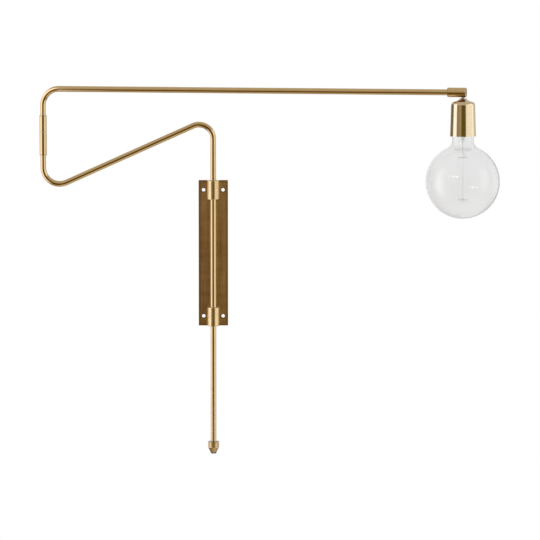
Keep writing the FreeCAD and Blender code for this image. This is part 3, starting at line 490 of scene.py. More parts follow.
def braze_bead_tree():
    """Geometry nodes for a bead along straight runs: its thickness wanders and both ends run out."""
    tree, inside, end = new_growth("braze bead", {
        "Runs": "Geometry", "Bead Radius": "Float", "Ripple": "Float", "Step": "Float", "Sides": "Int"})
    runs = spaced(tree, curves_of(tree, inside["Runs"]), inside["Step"])
    wander = noise(tree, here(tree), over(tree, 1.0, inside["Ripple"]), detail=2.0)
    share = add(tree, "GeometryNodeSplineParameter").outputs["Factor"]
    end_gap = math_node(tree, "MINIMUM", share, minus(tree, 1.0, share))
    swell = times(tree, plus(tree, wander, BEAD_LEAST), ranged(tree, end_gap, *BEAD_TAPER))
    ring = circle(tree, inside["Sides"], inside["Bead Radius"])
    return end(swept(tree, runs, ring, Scale=swell, Fill_Caps=True))


def bright_metal(name, clean, dark, patch, smooth):
    """Bright metal with small dull clouds and a faint grain."""
    dark_share = 0.6
    cloud_dull = 0.2
    material, tree, shader = new_material(name, Metallic=1.0)
    place = object_place(tree)
    clouds = grouped(tree, TARNISH, Vector=place, Patch_Size=patch)["Tarnish"]
    lines = grouped(tree, BRUSH_LINES, Vector=place, Stretch=METAL_GRAIN)["Lines"]
    tone = mixed(tree, times(tree, clouds, dark_share), clean, dark)
    surface(tree, shader, tone, plus(tree, times(tree, clouds, cloud_dull), smooth), lines, METAL_RELIEF)
    return material


bead_runs = []
for side in (-1, 1):
    for low_end, high_end in ((SLEEVE_BOTTOM, SLEEVE_TOP), (-SLEEVE_TOP, -SLEEVE_BOTTOM)):
        foot = (side * BEAD_ACROSS, BEAD_OUT, low_end + BEAD_END_GAP, 0.0)
        head = (side * BEAD_ACROSS, BEAD_OUT, high_end - BEAD_END_GAP, 0.0)
        bead_runs.append([foot, head])
braze_beads = grown(runs_of("braze_beads", *bead_runs), braze_bead_tree(), Bead_Radius=BEAD_RADIUS,
                    Ripple=BEAD_RIPPLE, Step=BEAD_STEP, Sides=BEAD_SIDES,
                    Finish=bright_metal("braze alloy", BRAZE, BRAZE_DARK, patch=4 * MM, smooth=0.3))
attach(braze_beads, "wall_bracket")


# Bushes and washers
# Moulded bearing plastic, off-white and slightly grey from rubbing, pressed into the sleeves or laid
# between turning faces. The thin washer in the elbow is tan pressed fibre.

BEARING_CREAM = (0.62, 0.60, 0.54)
BEARING_GREY = (0.36, 0.345, 0.31)
FIBRE_TAN = (0.44, 0.31, 0.15)
FIBRE_BROWN = (0.30, 0.20, 0.09)
PLASTIC_IOR = 1.49
SKIN_PER_METRE = 1400.0
SKIN_RELIEF = 0.02 * MM


def moulded_plastic(name, clean, soiled, patch, smooth):
    """Moulded plastic: a faint orange-peel skin with soil in clouds."""
    soil_dull = 0.2
    material, tree, shader = new_material(name, IOR=PLASTIC_IOR)
    place = object_place(tree)
    clouds = grouped(tree, TARNISH, Vector=place, Patch_Size=patch)["Tarnish"]
    skin = noise(tree, place, SKIN_PER_METRE, detail=2.0)
    tone = mixed(tree, clouds, clean, soiled)
    surface(tree, shader, tone, plus(tree, times(tree, clouds, soil_dull), smooth), skin, SKIN_RELIEF)
    return material


dress(moulded_plastic("bearing plastic", BEARING_CREAM, BEARING_GREY, patch=6 * MM, smooth=0.38),
      "upper_bush", "lower_bush", "friction_washer")
dress(moulded_plastic("washer fibre", FIBRE_TAN, FIBRE_BROWN, patch=3 * MM, smooth=0.6), "elbow_washer")


# Inner arm tube
# One length of 10 mm brass tube: the mast through both sleeves, a slanting run and the elbow stub,
# bent cold in two places. It is brushed lengthwise, so the grain follows the bends.

TUBE_RADIUS = 5 * MM
TUBE_WALL = 1 * MM
MAST_BEND = 24 * MM
ARM_BEND = 28 * MM
BEND_STEPS = 28
RING_SPACING = 3 * MM
ROUND_STEPS = 72
MAST_OUT = -12.2 * MM
MAST_FOOT = -328 * MM
MAST_CORNER = 231.85 * MM
ELBOW_ACROSS = -288 * MM
ELBOW_CORNER = 103.05 * MM
ELBOW_TUBE_TOP = 186 * MM
DULL_FOOT = -320 * MM
DULL_END = -120 * MM
FOOT_SMOOTH = 0.33
TUBE_SMOOTH = 0.08
TUBE_SPREAD = 0.06
TUBE_LINES = (1500, 1500, 16)
TUBE_PATCH = 30 * MM
TUBE_RELIEF = 0.0015 * MM
THRUST_RING_RIMS = (118 * MM, 123 * MM)


def stored(tree, geometry, name, kind, value):
    """A geometry that keeps a value at each of its points, under a name."""
    return add(tree, "GeometryNodeStoreNamedAttribute", {"data_type": kind, "domain": "POINT"},
               Geometry=geometry, Name=name, Value=value).outputs["Geometry"]


def recalled(tree, name, kind):
    """A value that was stored under a name."""
    return add(tree, "GeometryNodeInputNamedAttribute", {"data_type": kind}, Name=name).outputs["Attribute"]


def bent_tube_tree():
    """Geometry nodes that sweep a tube's skin along runs with bent corners and note the grain on it."""
    tree, inside, end = new_growth("bent tube", {
        "Runs": "Geometry", "Tube Radius": "Float", "Bend Steps": "Int", "Ring Spacing": "Float",
        "Round Steps": "Int", "Closed Ends": "Bool"})
    bent = add(tree, "GeometryNodeFilletCurve", {"mode": "POLY"}, Curve=curves_of(tree, inside["Runs"]),
               Count=inside["Bend Steps"], Radius=recalled(tree, "bend", "FLOAT")).outputs["Curve"]
    path = spaced(tree, bent, inside["Ring Spacing"])
    length = add(tree, "GeometryNodeSplineParameter").outputs["Length"]
    path = stored(tree, path, "along", "FLOAT", length)
    ring = circle(tree, inside["Round Steps"], inside["Tube Radius"])
    ring = stored(tree, ring, "ring", "FLOAT_VECTOR", here(tree))
    skin = swept(tree, path, ring, Fill_Caps=inside["Closed Ends"])
    around = parted(tree, recalled(tree, "ring", "FLOAT_VECTOR"))
    grain = joined(tree, X=around["X"], Y=around["Y"], Z=recalled(tree, "along", "FLOAT"))
    return end(stored(tree, skin, "grain", "FLOAT_VECTOR", grain))


BENT_TUBE = bent_tube_tree()


def drawn_tube_brass():
    """Drawn brass tube, brushed lengthwise and duller towards the mast's foot."""
    material, tree, shader = lacquered("drawn tube brass")
    grain = add(tree, "ShaderNodeAttribute", {"attribute_name": "grain"}).outputs["Vector"]
    up = parted(tree, object_place(tree))["Z"]
    smooth = ranged(tree, up, DULL_FOOT, DULL_END, FOOT_SMOOTH, TUBE_SMOOTH)
    work_brass(tree, shader, TUBE_RELIEF, Vector=grain, Stretch=TUBE_LINES, Patch_Size=TUBE_PATCH,
               Age=BRASS_AGE, Line_Depth=BRASS_LINES, Smooth=smooth, Dull=plus(tree, smooth, TUBE_SPREAD))
    return material


TUBE_BRASS = drawn_tube_brass()


def bent_tube(name, node, body, corners):
    """A bent brass tube in place of its CAD node."""
    tube = grown(runs_of(name, corners), BENT_TUBE, wall=TUBE_WALL, Tube_Radius=TUBE_RADIUS,
                 Bend_Steps=BEND_STEPS, Ring_Spacing=RING_SPACING, Round_Steps=ROUND_STEPS,
                 Finish=TUBE_BRASS)
    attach(tube, body)
    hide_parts(node)


bent_tube("inner_tube_brushed", "inner_arm_tube", "inner_arm", [
    (0, MAST_OUT, MAST_FOOT, 0), (0, MAST_OUT, MAST_CORNER, MAST_BEND),
    (ELBOW_ACROSS, MAST_OUT, ELBOW_CORNER, ARM_BEND), (ELBOW_ACROSS, MAST_OUT, ELBOW_TUBE_TOP, 0)])
dress(turned_brass("thrust ring brass", THRUST_RING_RIMS), "thrust_ring")


# Flex inside the tubes
# Round two-core flex in a smooth black sheath, one length in each arm, threaded through the tube before the
# arms are joined.

SHEATH_BLACK = (0.018, 0.017, 0.016)
SHEATH_GREY = (0.045, 0.043, 0.041)
dress(moulded_plastic("flex sheath", SHEATH_BLACK, SHEATH_GREY, patch=8 * MM, smooth=0.4),
      "inner_flex", "outer_flex")


# Cord grip
# A turned brass collar on the mast's foot, a conical nut below it and a black rubber grommet in its nose,
# grey with dust.

GRIP_TOP = -321 * MM
GRIP_SEAM = -331.8 * MM
GRIP_NOSE = -339 * MM
GRIP_SHADED_BRASS = (0.58, 0.39, 0.115)
RUBBER_BLACK = (0.06, 0.047, 0.033)
RUBBER_DUST = (0.38, 0.30, 0.20)
# Painted shade: the grip's brass is darker and browner than the rest, and its band at the top, where the
# mast enters, is darker still.
dress(turned_brass("cord grip brass", (GRIP_SEAM, GRIP_NOSE), joints=(GRIP_TOP,), smooth=0.4, dull=0.52,
                   age=0.5, clean=GRIP_SHADED_BRASS), "gland_body", "gland_nut")
dress(moulded_plastic("grommet rubber", RUBBER_BLACK, RUBBER_DUST, patch=4 * MM, smooth=0.55),
      "gland_grommet")


# Elbow, lower half
# A turned brass sleeve brazed over the stub, with soil in the joint. A small steel grub screw at the back
# keeps the upper half in.

ELBOW_FOOT = 167 * MM
ELBOW_SEAM = 206.2 * MM
COLLAR_FOOT = 206.75 * MM
COLLAR_TOP = 234.15 * MM
STEEL = (0.50, 0.49, 0.47)
STEEL_DARK = (0.20, 0.19, 0.18)
ELBOW_BRASS = turned_brass("turned elbow brass", (ELBOW_SEAM, COLLAR_FOOT), joints=(ELBOW_FOOT, COLLAR_TOP))
dress(ELBOW_BRASS, "elbow_sleeve")
dress(bright_metal("screw steel", STEEL, STEEL_DARK, patch=3 * MM, smooth=0.26),
      "elbow_grub_screw", "terminal_screws")


# Elbow, upper half, with the outer arm tube
# A turned collar carries a spigot that turns in the sleeve below it, and the outer arm is brazed into its
# top. The arm is 10 mm tube like the inner one, with one bend.

REST_YAW = math.radians(12.5)
LAMP_REACH = 720 * MM
ARM_HEIGHT = 279.5 * MM
OUTER_TUBE_FOOT = 208.3 * MM
OUTER_TUBE_END = 698.1 * MM


def along_arm(distance, height, bend=0.0):
    """A corner of the outer arm at rest, by its distance from the elbow, with its bend."""
    across = ELBOW_ACROSS + distance * math.cos(REST_YAW)
    out = MAST_OUT - distance * math.sin(REST_YAW)
    return (across, out, height, bend)


dress(ELBOW_BRASS, "elbow_collar", "elbow_spigot")
bent_tube("outer_tube_brushed", "outer_arm_tube", "outer_arm", [
    along_arm(0, OUTER_TUBE_FOOT), along_arm(0, ARM_HEIGHT, ARM_BEND),
    along_arm(OUTER_TUBE_END, ARM_HEIGHT)])


# Swivel barrel
# A turned brass barrel rolls on a journal at the arm's end. A thin disc closes its far end, and a dark band
# of painted shade lies where it meets the arm.

BARREL_NEAR = 694.3 * MM
BARREL_FAR = 725.3 * MM
ELBOW_STATION = ELBOW_ACROSS * math.cos(REST_YAW) - MAST_OUT * math.sin(REST_YAW)
BARREL_START = ELBOW_STATION + BARREL_NEAR
BARREL_END = ELBOW_STATION + BARREL_FAR
# Painted shade: the dark joint band at the barrel's near end.
dress(turned_brass("turned barrel brass", (BARREL_END,), joints=(BARREL_START,), turn=REST_YAW,
                   rings=LATHE_RINGS[::-1]), "swivel_barrel", "barrel_end_cap", "arm_end_journal")


# Neck and cup
# A thin brass nipple with a collar, both painted dark as shade, hangs the spun brass cup under the barrel.
# The cup is polished and then brushed lightly around, which leaves a satin gloss; painted shade darkens its
# crown round the collar.

CUP_RIM = 207.2 * MM
CUP_CROWN = 267.5 * MM
COLLAR_RIM = 269.9 * MM
NECK_SHADED_BRASS = (0.24, 0.165, 0.07)
CUP_BRASS = (0.73, 0.575, 0.305)
CUP_RINGS = (30, 30, 3600)
# Painted shade: the dark joint band at the cup's crown, round the collar.
dress(turned_brass("polished cup brass", (CUP_RIM,), joints=(CUP_CROWN,), rings=CUP_RINGS, smooth=0.11,
                   dull=0.16, age=0.2, lines=0.08, clean=CUP_BRASS), "holder_cup")
# Painted shade: the neck and its collar are given a dark brass.
dress(turned_brass("neck brass", (COLLAR_RIM,), smooth=0.24, dull=0.36, age=0.2, clean=NECK_SHADED_BRASS),
      "cup_collar", "neck_nipple")


# Lamp holder
# Black moulded cap and skirt inside the cup, with a brass screw shell, a terminal block and a centre
# contact. Two black leads come down to it through the nipple.

SHELL_RIMS = (223.4 * MM, 247.4 * MM)
HOLDER_BLACK = (0.025, 0.024, 0.023)
HOLDER_WORN = (0.06, 0.057, 0.054)
dress(moulded_plastic("holder plastic", HOLDER_BLACK, HOLDER_WORN, patch=10 * MM, smooth=0.42),
      "holder_cap", "holder_skirt", "terminal_block")
dress(turned_brass("holder brass", SHELL_RIMS), "screw_shell", "centre_contact")
dress(moulded_plastic("lead sheath", SHEATH_BLACK, SHEATH_GREY, patch=3 * MM, smooth=0.4),
      "live_lead", "neutral_lead")


# Bulb glass
# A blown clear globe with a short neck, thin and slightly uneven, fixed into the screw cap with cement.
# A trace of dust lies on it.

GLASS_IOR = 1.48
GLOBE_TINT = (0.89, 0.89, 0.888)
GLOBE_WAVE = 30 * MM
GLOBE_WAVE_DEPTH = 0.05 * MM
DUST_PATCH = 20 * MM
DUST_DULL = 0.03


def blown_glass(name, tint, wave, depth):
    """Clear glass with the slow waves of blowing and a trace of dust."""
    material, tree, shader = new_material(name, Transmission_Weight=1.0, IOR=GLASS_IOR)
    place = object_place(tree)
    slow = noise(tree, place, 1 / wave, detail=1.0)
    dust = grouped(tree, TARNISH, Vector=place, Patch_Size=DUST_PATCH)["Tarnish"]
    surface(tree, shader, tint, times(tree, dust, DUST_DULL), slow, depth, strength=1.0)
    return material


dress(blown_glass("blown globe glass", GLOBE_TINT, GLOBE_WAVE, GLOBE_WAVE_DEPTH), "bulb_glass")


# Bulb cap
# A thin nickel-plated cap with a rolled screw thread, cemented over the neck of the glass. Black glass
# closes its end and holds the solder contact.

CAP_FOOT = 217.85 * MM
CAP_HEIGHT = 23.2 * MM
CAP_CREST = 13 * MM
CAP_THREAD_DEPTH = 0.8 * MM
CAP_TURN = 3.5 * MM
CAP_SKIRT = 4 * MM
CAP_RUN_OUT = 1.2 * MM
CAP_WALL = 0.5 * MM
CAP_ROUND_STEPS = 96
CAP_LEVEL_STEPS = 92
CAP_METAL = (0.66, 0.62, 0.54)
CAP_DULL = (0.36, 0.33, 0.28)
SOLDER = (0.52, 0.52, 0.53)
SOLDER_DULL = (0.24, 0.24, 0.25)
BLACK_GLASS = (0.012, 0.011, 0.014)
BLACK_GLASS_GREY = (0.03, 0.03, 0.034)
LAMP_AXIS = along_arm(LAMP_REACH, 0.0)[:2]


def rolled_cap_tree():
    """Geometry nodes for a thin cap: a plain skirt, a thread rolled into the wall and a narrow rim."""
    tree, inside, end = new_growth("rolled cap", {
        "Start": "Geometry", "Foot": "Vector", "Height": "Float", "Crest": "Float", "Depth": "Float",
        "Turn": "Float", "Skirt": "Float", "Run Out": "Float", "Round Steps": "Int", "Level Steps": "Int"})
    wall = add(tree, "GeometryNodeMeshCylinder", {"fill_type": "NONE"}, Vertices=inside["Round Steps"],
               Side_Segments=inside["Level Steps"], Radius=inside["Crest"], Depth=inside["Height"])
    apart = parted(tree, here(tree))
    turn = math_node(tree, "ARCTAN2", apart["Y"], apart["X"])
    up = plus(tree, apart["Z"], over(tree, inside["Height"], 2.0))
    turns = over(tree, minus(tree, up, inside["Skirt"]), inside["Turn"])
    phase = minus(tree, times(tree, turns, 2 * math.pi), turn)
    wave = times(tree, minus(tree, 1.0, math_node(tree, "COSINE", phase)), 0.5)
    started = ranged(tree, up, inside["Skirt"], plus(tree, inside["Skirt"], inside["Run Out"]))
    rim = ranged(tree, up, minus(tree, inside["Height"], inside["Run Out"]), inside["Height"])
    share = math_node(tree, "MAXIMUM", times(tree, wave, started), rim)
    radius = minus(tree, inside["Crest"], times(tree, share, inside["Depth"]))
    across = times(tree, radius, math_node(tree, "COSINE", turn))
    out = times(tree, radius, math_node(tree, "SINE", turn))
    shaped = vector_node(tree, "ADD", joined(tree, X=across, Y=out, Z=up), inside["Foot"])
    rolled = add(tree, "GeometryNodeSetPosition", Geometry=wall.outputs["Mesh"], Position=shaped)
    return end(rolled.outputs["Geometry"])


rolled_cap = grown(runs_of("rolled_cap"), rolled_cap_tree(), wall=CAP_WALL, Foot=(*LAMP_AXIS, CAP_FOOT),
                   Height=CAP_HEIGHT, Crest=CAP_CREST, Depth=CAP_THREAD_DEPTH, Turn=CAP_TURN,
                   Skirt=CAP_SKIRT, Run_Out=CAP_RUN_OUT, Round_Steps=CAP_ROUND_STEPS,
                   Level_Steps=CAP_LEVEL_STEPS,
                   Finish=bright_metal("rolled cap metal", CAP_METAL, CAP_DULL, patch=6 * MM, smooth=0.24))
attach(rolled_cap, "bulb")
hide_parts("bulb_cap")
dress(bright_metal("contact solder", SOLDER, SOLDER_DULL, patch=3 * MM, smooth=0.36), "cap_contact")
dress(moulded_plastic("black cap glass", BLACK_GLASS, BLACK_GLASS_GREY, patch=4 * MM, smooth=0.14),
      "cap_insulator")


# Stem, beads and support wires
# A pressed glass stem with a thin glass rod. Two glass beads melted on the rod hold eight straight support
# wires each.

ROD_TINT = (0.955, 0.955, 0.95)
PRESS_TINT = (0.80, 0.80, 0.79)
PRESS_FOOT = 199 * MM
PRESS_SHADE = 3 * MM
STEM_WAVE = 12 * MM
STEM_WAVE_DEPTH = 0.03 * MM
UPPER_BEAD = 172.05 * MM
LOWER_BEAD = 102.05 * MM
BEAD_CENTRES = [(*LAMP_AXIS, UPPER_BEAD, 0.0), (*LAMP_AXIS, LOWER_BEAD, 0.0)]
BEAD_BORE = 1.15 * MM
ROD_BEAD_RADIUS = 2.2 * MM
ROD_BEAD_HEIGHT = 2.4 * MM
BEAD_ROUND_STEPS = 40
BEAD_SECTION_STEPS = 20
SUPPORT_REACH = 8.3 * MM
SUPPORT_WIRE = 0.15 * MM
SUPPORT_SIDES = 8
STRANDS = 8
WIRE_GREY = (0.72, 0.65, 0.55)
WIRE_DARK = (0.46, 0.40, 0.31)


def placed(tree, centres, piece):
    """A piece at each point of a mesh."""
    points = add(tree, "GeometryNodeMeshToPoints", Mesh=centres).outputs["Points"]
    return add(tree, "GeometryNodeInstanceOnPoints", Points=points, Instance=piece).outputs["Instances"]


def rod_bead_tree():
    """Geometry nodes for a round glass bead with a bore at each of the given points."""
    tree, inside, end = new_growth("rod beads", {
        "Centres": "Geometry", "Bore": "Float", "Bead Radius": "Float", "Bead Height": "Float",
        "Round Steps": "Int", "Section Steps": "Int"})
    middle = times(tree, plus(tree, inside["Bead Radius"], inside["Bore"]), 0.5)
    half = times(tree, minus(tree, inside["Bead Radius"], inside["Bore"]), 0.5)
    path = circle(tree, inside["Round Steps"], middle)
    bead = swept(tree, path, circle(tree, inside["Section Steps"], half))
    tall = over(tree, times(tree, inside["Bead Height"], 0.5), half)
    bead = add(tree, "GeometryNodeTransform", Geometry=bead, Scale=joined(tree, X=1.0, Y=1.0, Z=tall))
    return end(placed(tree, inside["Centres"], bead.outputs["Geometry"]))


def support_wire_tree():
    """Geometry nodes for a ring of straight wires round each of the given points."""
    tree, inside, end = new_growth("support wires", {
        "Centres": "Geometry", "Wires": "Int", "Inner End": "Float", "Outer End": "Float",
        "Wire Radius": "Float", "Sides": "Int", "Start Turn": "Float"})
    line = add(tree, "GeometryNodeCurvePrimitiveLine", Start=joined(tree, X=inside["Inner End"]),
               End=joined(tree, X=inside["Outer End"])).outputs["Curve"]
    wire = swept(tree, line, circle(tree, inside["Sides"], inside["Wire Radius"]), Fill_Caps=True)
    points = add(tree, "GeometryNodePoints", Count=inside["Wires"]).outputs["Points"]
    share = over(tree, add(tree, "GeometryNodeInputIndex").outputs["Index"], inside["Wires"])
    turn = plus(tree, times(tree, share, 2 * math.pi), inside["Start Turn"])
    facing = add(tree, "FunctionNodeEulerToRotation", Euler=joined(tree, Z=turn)).outputs["Rotation"]
    spider = add(tree, "GeometryNodeInstanceOnPoints", Points=points, Instance=wire, Rotation=facing)
    return end(placed(tree, inside["Centres"], spider.outputs["Instances"]))


def pressed_glass():
    """Stem glass, clear along the rod and grey where it was pressed and flared."""
    material = blown_glass("stem glass", ROD_TINT, STEM_WAVE, STEM_WAVE_DEPTH)
    tree = material.node_tree
    up = parted(tree, object_place(tree))["Z"]
    pressed = ranged(tree, up, PRESS_FOOT - PRESS_SHADE, PRESS_FOOT + PRESS_SHADE)
    shader = tree.nodes["Principled BSDF"]
    feed(tree, shader.inputs["Base Color"], mixed(tree, pressed, ROD_TINT, PRESS_TINT))
    return material


STEM_GLASS = pressed_glass()
FILAMENT_WIRE = bright_metal("filament wire", WIRE_GREY, WIRE_DARK, patch=4 * MM, smooth=0.34)
dress(STEM_GLASS, "stem_glass")
rod_beads = grown(runs_of("rod_beads", BEAD_CENTRES), rod_bead_tree(), Bore=BEAD_BORE,
                  Bead_Radius=ROD_BEAD_RADIUS, Bead_Height=ROD_BEAD_HEIGHT, Round_Steps=BEAD_ROUND_STEPS,
                  Section_Steps=BEAD_SECTION_STEPS, Finish=STEM_GLASS)
support_wires = grown(runs_of("support_wires", BEAD_CENTRES), support_wire_tree(), Wires=STRANDS,
                      Inner_End=ROD_BEAD_RADIUS - SUPPORT_WIRE, Outer_End=SUPPORT_REACH,
                      Wire_Radius=SUPPORT_WIRE, Sides=SUPPORT_SIDES, Start_Turn=-REST_YAW,
                      Finish=FILAMENT_WIRE)
for piece, piece_slot in ((rod_beads, "clear_glass"), (support_wires, "steel")):
    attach(piece, "bulb")
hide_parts("upper_spider", "lower_spider")


# Filament and lead wires
# Tungsten wire wound into a fine coil, led up and down over the ends of the support wires. Two thicker
# wires from the stem feed its ends.

STRAND_RADIUS = 8.5 * MM
STRAND_TOP = 172.5 * MM
STRAND_FOOT = 101.6 * MM
COIL_RADIUS = 0.12 * MM
COIL_WIRE = 0.036 * MM
COIL_TURN = 0.7 * MM
COIL_STEP = 0.09 * MM
COIL_SIDES = 3
LEAD_RADIUS = 0.15 * MM
LEAD_OUT = 1.7 * MM
LEAD_TOP = 207 * MM
LEAD_SHOULDER = 179 * MM
LEAD_BEND = 4 * MM
LEAD_GAP = 0.5 * MM
LEAD_STEP = 0.5 * MM


def in_bulb(radius, turn, height, bend=0.0):
    """A corner of a wire inside the bulb, by its distance from the bulb's axis and its turn about it."""
    across = radius * math.cos(turn - REST_YAW)
    out = radius * math.sin(turn - REST_YAW)
    return (LAMP_AXIS[0] + across, LAMP_AXIS[1] + out, height, bend)


def strand_turn(strand):
    return 2 * math.pi * strand / STRANDS


def coiled_wire_tree():
    """Geometry nodes for a wire wound into a coil along straight runs."""
    tree, inside, end = new_growth("coiled wire", {
        "Runs": "Geometry", "Coil Radius": "Float", "Turn Length": "Float", "Step": "Float",
        "Wire Radius": "Float", "Sides": "Int"})
    runs = spaced(tree, curves_of(tree, inside["Runs"]), inside["Step"])
    length = add(tree, "GeometryNodeSplineParameter").outputs["Length"]
    turn = times(tree, over(tree, length, inside["Turn Length"]), 2 * math.pi)
    ahead = add(tree, "GeometryNodeInputTangent").outputs["Tangent"]
    aside = add(tree, "GeometryNodeInputNormal").outputs["Normal"]
    across = vector_node(tree, "CROSS_PRODUCT", ahead, aside)
    first = vector_node(tree, "MULTIPLY", aside, math_node(tree, "COSINE", turn))
    second = vector_node(tree, "MULTIPLY", across, math_node(tree, "SINE", turn))
    away = vector_node(tree, "MULTIPLY", vector_node(tree, "ADD", first, second), inside["Coil Radius"])
    wound = add(tree, "GeometryNodeSetPosition", Geometry=runs, Offset=away).outputs["Geometry"]
    return end(swept(tree, wound, circle(tree, inside["Sides"], inside["Wire Radius"]), Fill_Caps=True))


strand_runs = []
for strand in range(STRANDS):
    levels = (STRAND_TOP, STRAND_FOOT) if strand % 2 == 0 else (STRAND_FOOT, STRAND_TOP)
    for level in levels:
        strand_runs.append(in_bulb(STRAND_RADIUS, strand_turn(strand), level))
coiled_filament = grown(runs_of("coiled_filament", strand_runs), coiled_wire_tree(),
                        Coil_Radius=COIL_RADIUS, Turn_Length=COIL_TURN, Step=COIL_STEP,
                        Wire_Radius=COIL_WIRE, Sides=COIL_SIDES, Finish=FILAMENT_WIRE)
lead_runs = []
for side, strand in ((1, 0), (-1, STRANDS - 1)):
    out_turn = side * math.pi / 2
    shoulder = in_bulb(LEAD_OUT, out_turn, LEAD_SHOULDER, LEAD_BEND)
    tip = in_bulb(STRAND_RADIUS, strand_turn(strand), STRAND_TOP + LEAD_GAP)
    lead_runs.append([in_bulb(LEAD_OUT, out_turn, LEAD_TOP), shoulder, tip])
bent_leads = grown(runs_of("bent_leads", *lead_runs), BENT_TUBE, Tube_Radius=LEAD_RADIUS,
                   Bend_Steps=BEND_STEPS, Ring_Spacing=LEAD_STEP, Round_Steps=SUPPORT_SIDES,
                   Closed_Ends=True, Finish=FILAMENT_WIRE)
for piece, node in ((coiled_filament, "filament"), (bent_leads, "lead_wires")):
    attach(piece, "bulb")
    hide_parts(node)


# Surround
# The room round the lamp, given as tones by direction: white behind, dim in front and below, which gives
# the round brass its dark core. The camera and the glass see only white.

WHITE_BACK = (1.0, 1.0, 1.0)
DIM_CORNER = (0.22, 0.19, 0.15)
LEFT_GAP = (0.36, 0.31, 0.22)
GREY_CARD = (0.46, 0.41, 0.32)
RIGHT_DIM = (0.35, 0.33, 0.30)
CAMERA_SIDE = (0.145, 0.106, 0.03)
RIGHT_WALL = (0.8, 0.8, 0.84)
UPPER_ROOM = (0.64, 0.63, 0.66)
LOWER_FRONT = (0.09, 0.045, 0.0)
LOWER_LEFT = (0.16, 0.09, 0.025)
LOWER_ROOM = (0.76, 0.73, 0.67)
# Tones round the room, by degrees to the right of the camera
ROOM_RING = (
    (-180, WHITE_BACK), (-160, WHITE_BACK), (-140, DIM_CORNER), (-110, DIM_CORNER), (-90, LEFT_GAP),
    (-44, LEFT_GAP), (-33, GREY_CARD), (-23, GREY_CARD), (-11, CAMERA_SIDE), (15, CAMERA_SIDE),
    (40, RIGHT_DIM), (92, RIGHT_DIM), (106, RIGHT_WALL), (138, RIGHT_WALL), (149, DIM_CORNER),
    (162, DIM_CORNER), (168, WHITE_BACK), (180, WHITE_BACK))
# Where one tone passes into the next, as turns from the camera or as heights on a ball of radius 1
FRONT_TURNS = (math.radians(34), math.radians(52))
LEFT_TURNS = (math.radians(-14), math.radians(6))
UPPER_RISE = (0.14, 0.48)
FRONT_DROP = (-0.15, -0.07)
SIDE_DROP = (-0.55, -0.25)
DEEP_DROP = (-0.8, -0.35)
LEFT_DEPTH = 0.27
STRAIGHT_BEHIND = (0.925, 0.975)


def seen_rays(tree):
    """1 for what the camera sees, directly or through glass."""
    path = add(tree, "ShaderNodeLightPath").outputs
    return math_node(tree, "MAXIMUM", path["Is Camera Ray"], path["Is Transmission Ray"])


def room_ring(tree, turn):
    """The tone of the room by its turn from the camera."""
    share = plus(tree, over(tree, turn, 2 * math.pi), 0.5)
    ring = add(tree, "ShaderNodeValToRGB", Fac=share)
    stops = ring.color_ramp.elements
    while len(stops) < len(ROOM_RING):
        stops.new(1.0)
    for stop, (degrees, tone) in zip(stops, ROOM_RING):
        stop.position = degrees / 360 + 0.5
        stop.color = (*tone, 1)
    return ring.outputs["Color"]


def studio_world():
    world = bpy.data.worlds.new("studio")
    world.use_nodes = True
    tree = world.node_tree
    tree.nodes.clear()
    apart = parted(tree, add(tree, "ShaderNodeTexCoord").outputs["Generated"])
    turn = math_node(tree, "ARCTAN2", apart["X"], times(tree, apart["Y"], -1.0))
    room = mixed(tree, ranged(tree, apart["Z"], *UPPER_RISE), room_ring(tree, turn), UPPER_ROOM)
    left = ranged(tree, turn, *LEFT_TURNS, 1.0, 0.0)
    depth = plus(tree, apart["Z"], times(tree, left, LEFT_DEPTH))
    below = mixed(tree, left, LOWER_FRONT, LOWER_LEFT)
    below = mixed(tree, ranged(tree, depth, *DEEP_DROP, 1.0, 0.0), below, LOWER_ROOM)
    front = ranged(tree, math_node(tree, "ABSOLUTE", turn), *FRONT_TURNS, 1.0, 0.0)
    drop_front = times(tree, ranged(tree, apart["Z"], *FRONT_DROP, 1.0, 0.0), front)
    drop_side = times(tree, ranged(tree, apart["Z"], *SIDE_DROP, 1.0, 0.0), minus(tree, 1.0, front))
    room = mixed(tree, plus(tree, drop_front, drop_side), room, below)
    shine = times(tree, add(tree, "ShaderNodeLightPath").outputs["Is Glossy Ray"],
                  ranged(tree, apart["Y"], *STRAIGHT_BEHIND))
    tone = mixed(tree, math_node(tree, "MAXIMUM", seen_rays(tree), shine), room, WHITE_BACK)
    sky = add(tree, "ShaderNodeBackground", Color=tone, Strength=1.0)
    add(tree, "ShaderNodeOutputWorld", Surface=sky.outputs["Background"])
    bpy.context.scene.world = world


studio_world()


# Floor
# A round pale floor below the lamp. It glows to white for the camera towards its rim, is clear from below
# and isn't mirrored in the brass.

FLOOR_CENTRE = (0.06, 0.05, -0.75)
FLOOR_RADIUS = 0.9
FLOOR_FADE = 0.45
FLOOR_GLOW = 0.6
FLOOR_SIDES = 96
FLOOR_ROUGH = 0.9
FLOOR_MOTTLE = 3.0
FLOOR_PALE = (0.9, 0.9, 0.9)
FLOOR_WHITE = (0.94, 0.94, 0.94)


def mixed_shader(tree, share, first, second):
    """Two shaders blended by a share from 0 to 1."""
    node = add(tree, "ShaderNodeMixShader")
    for socket, value in zip(node.inputs, (share, first, second)):
        feed(tree, socket, value)
    return node.outputs["Shader"]


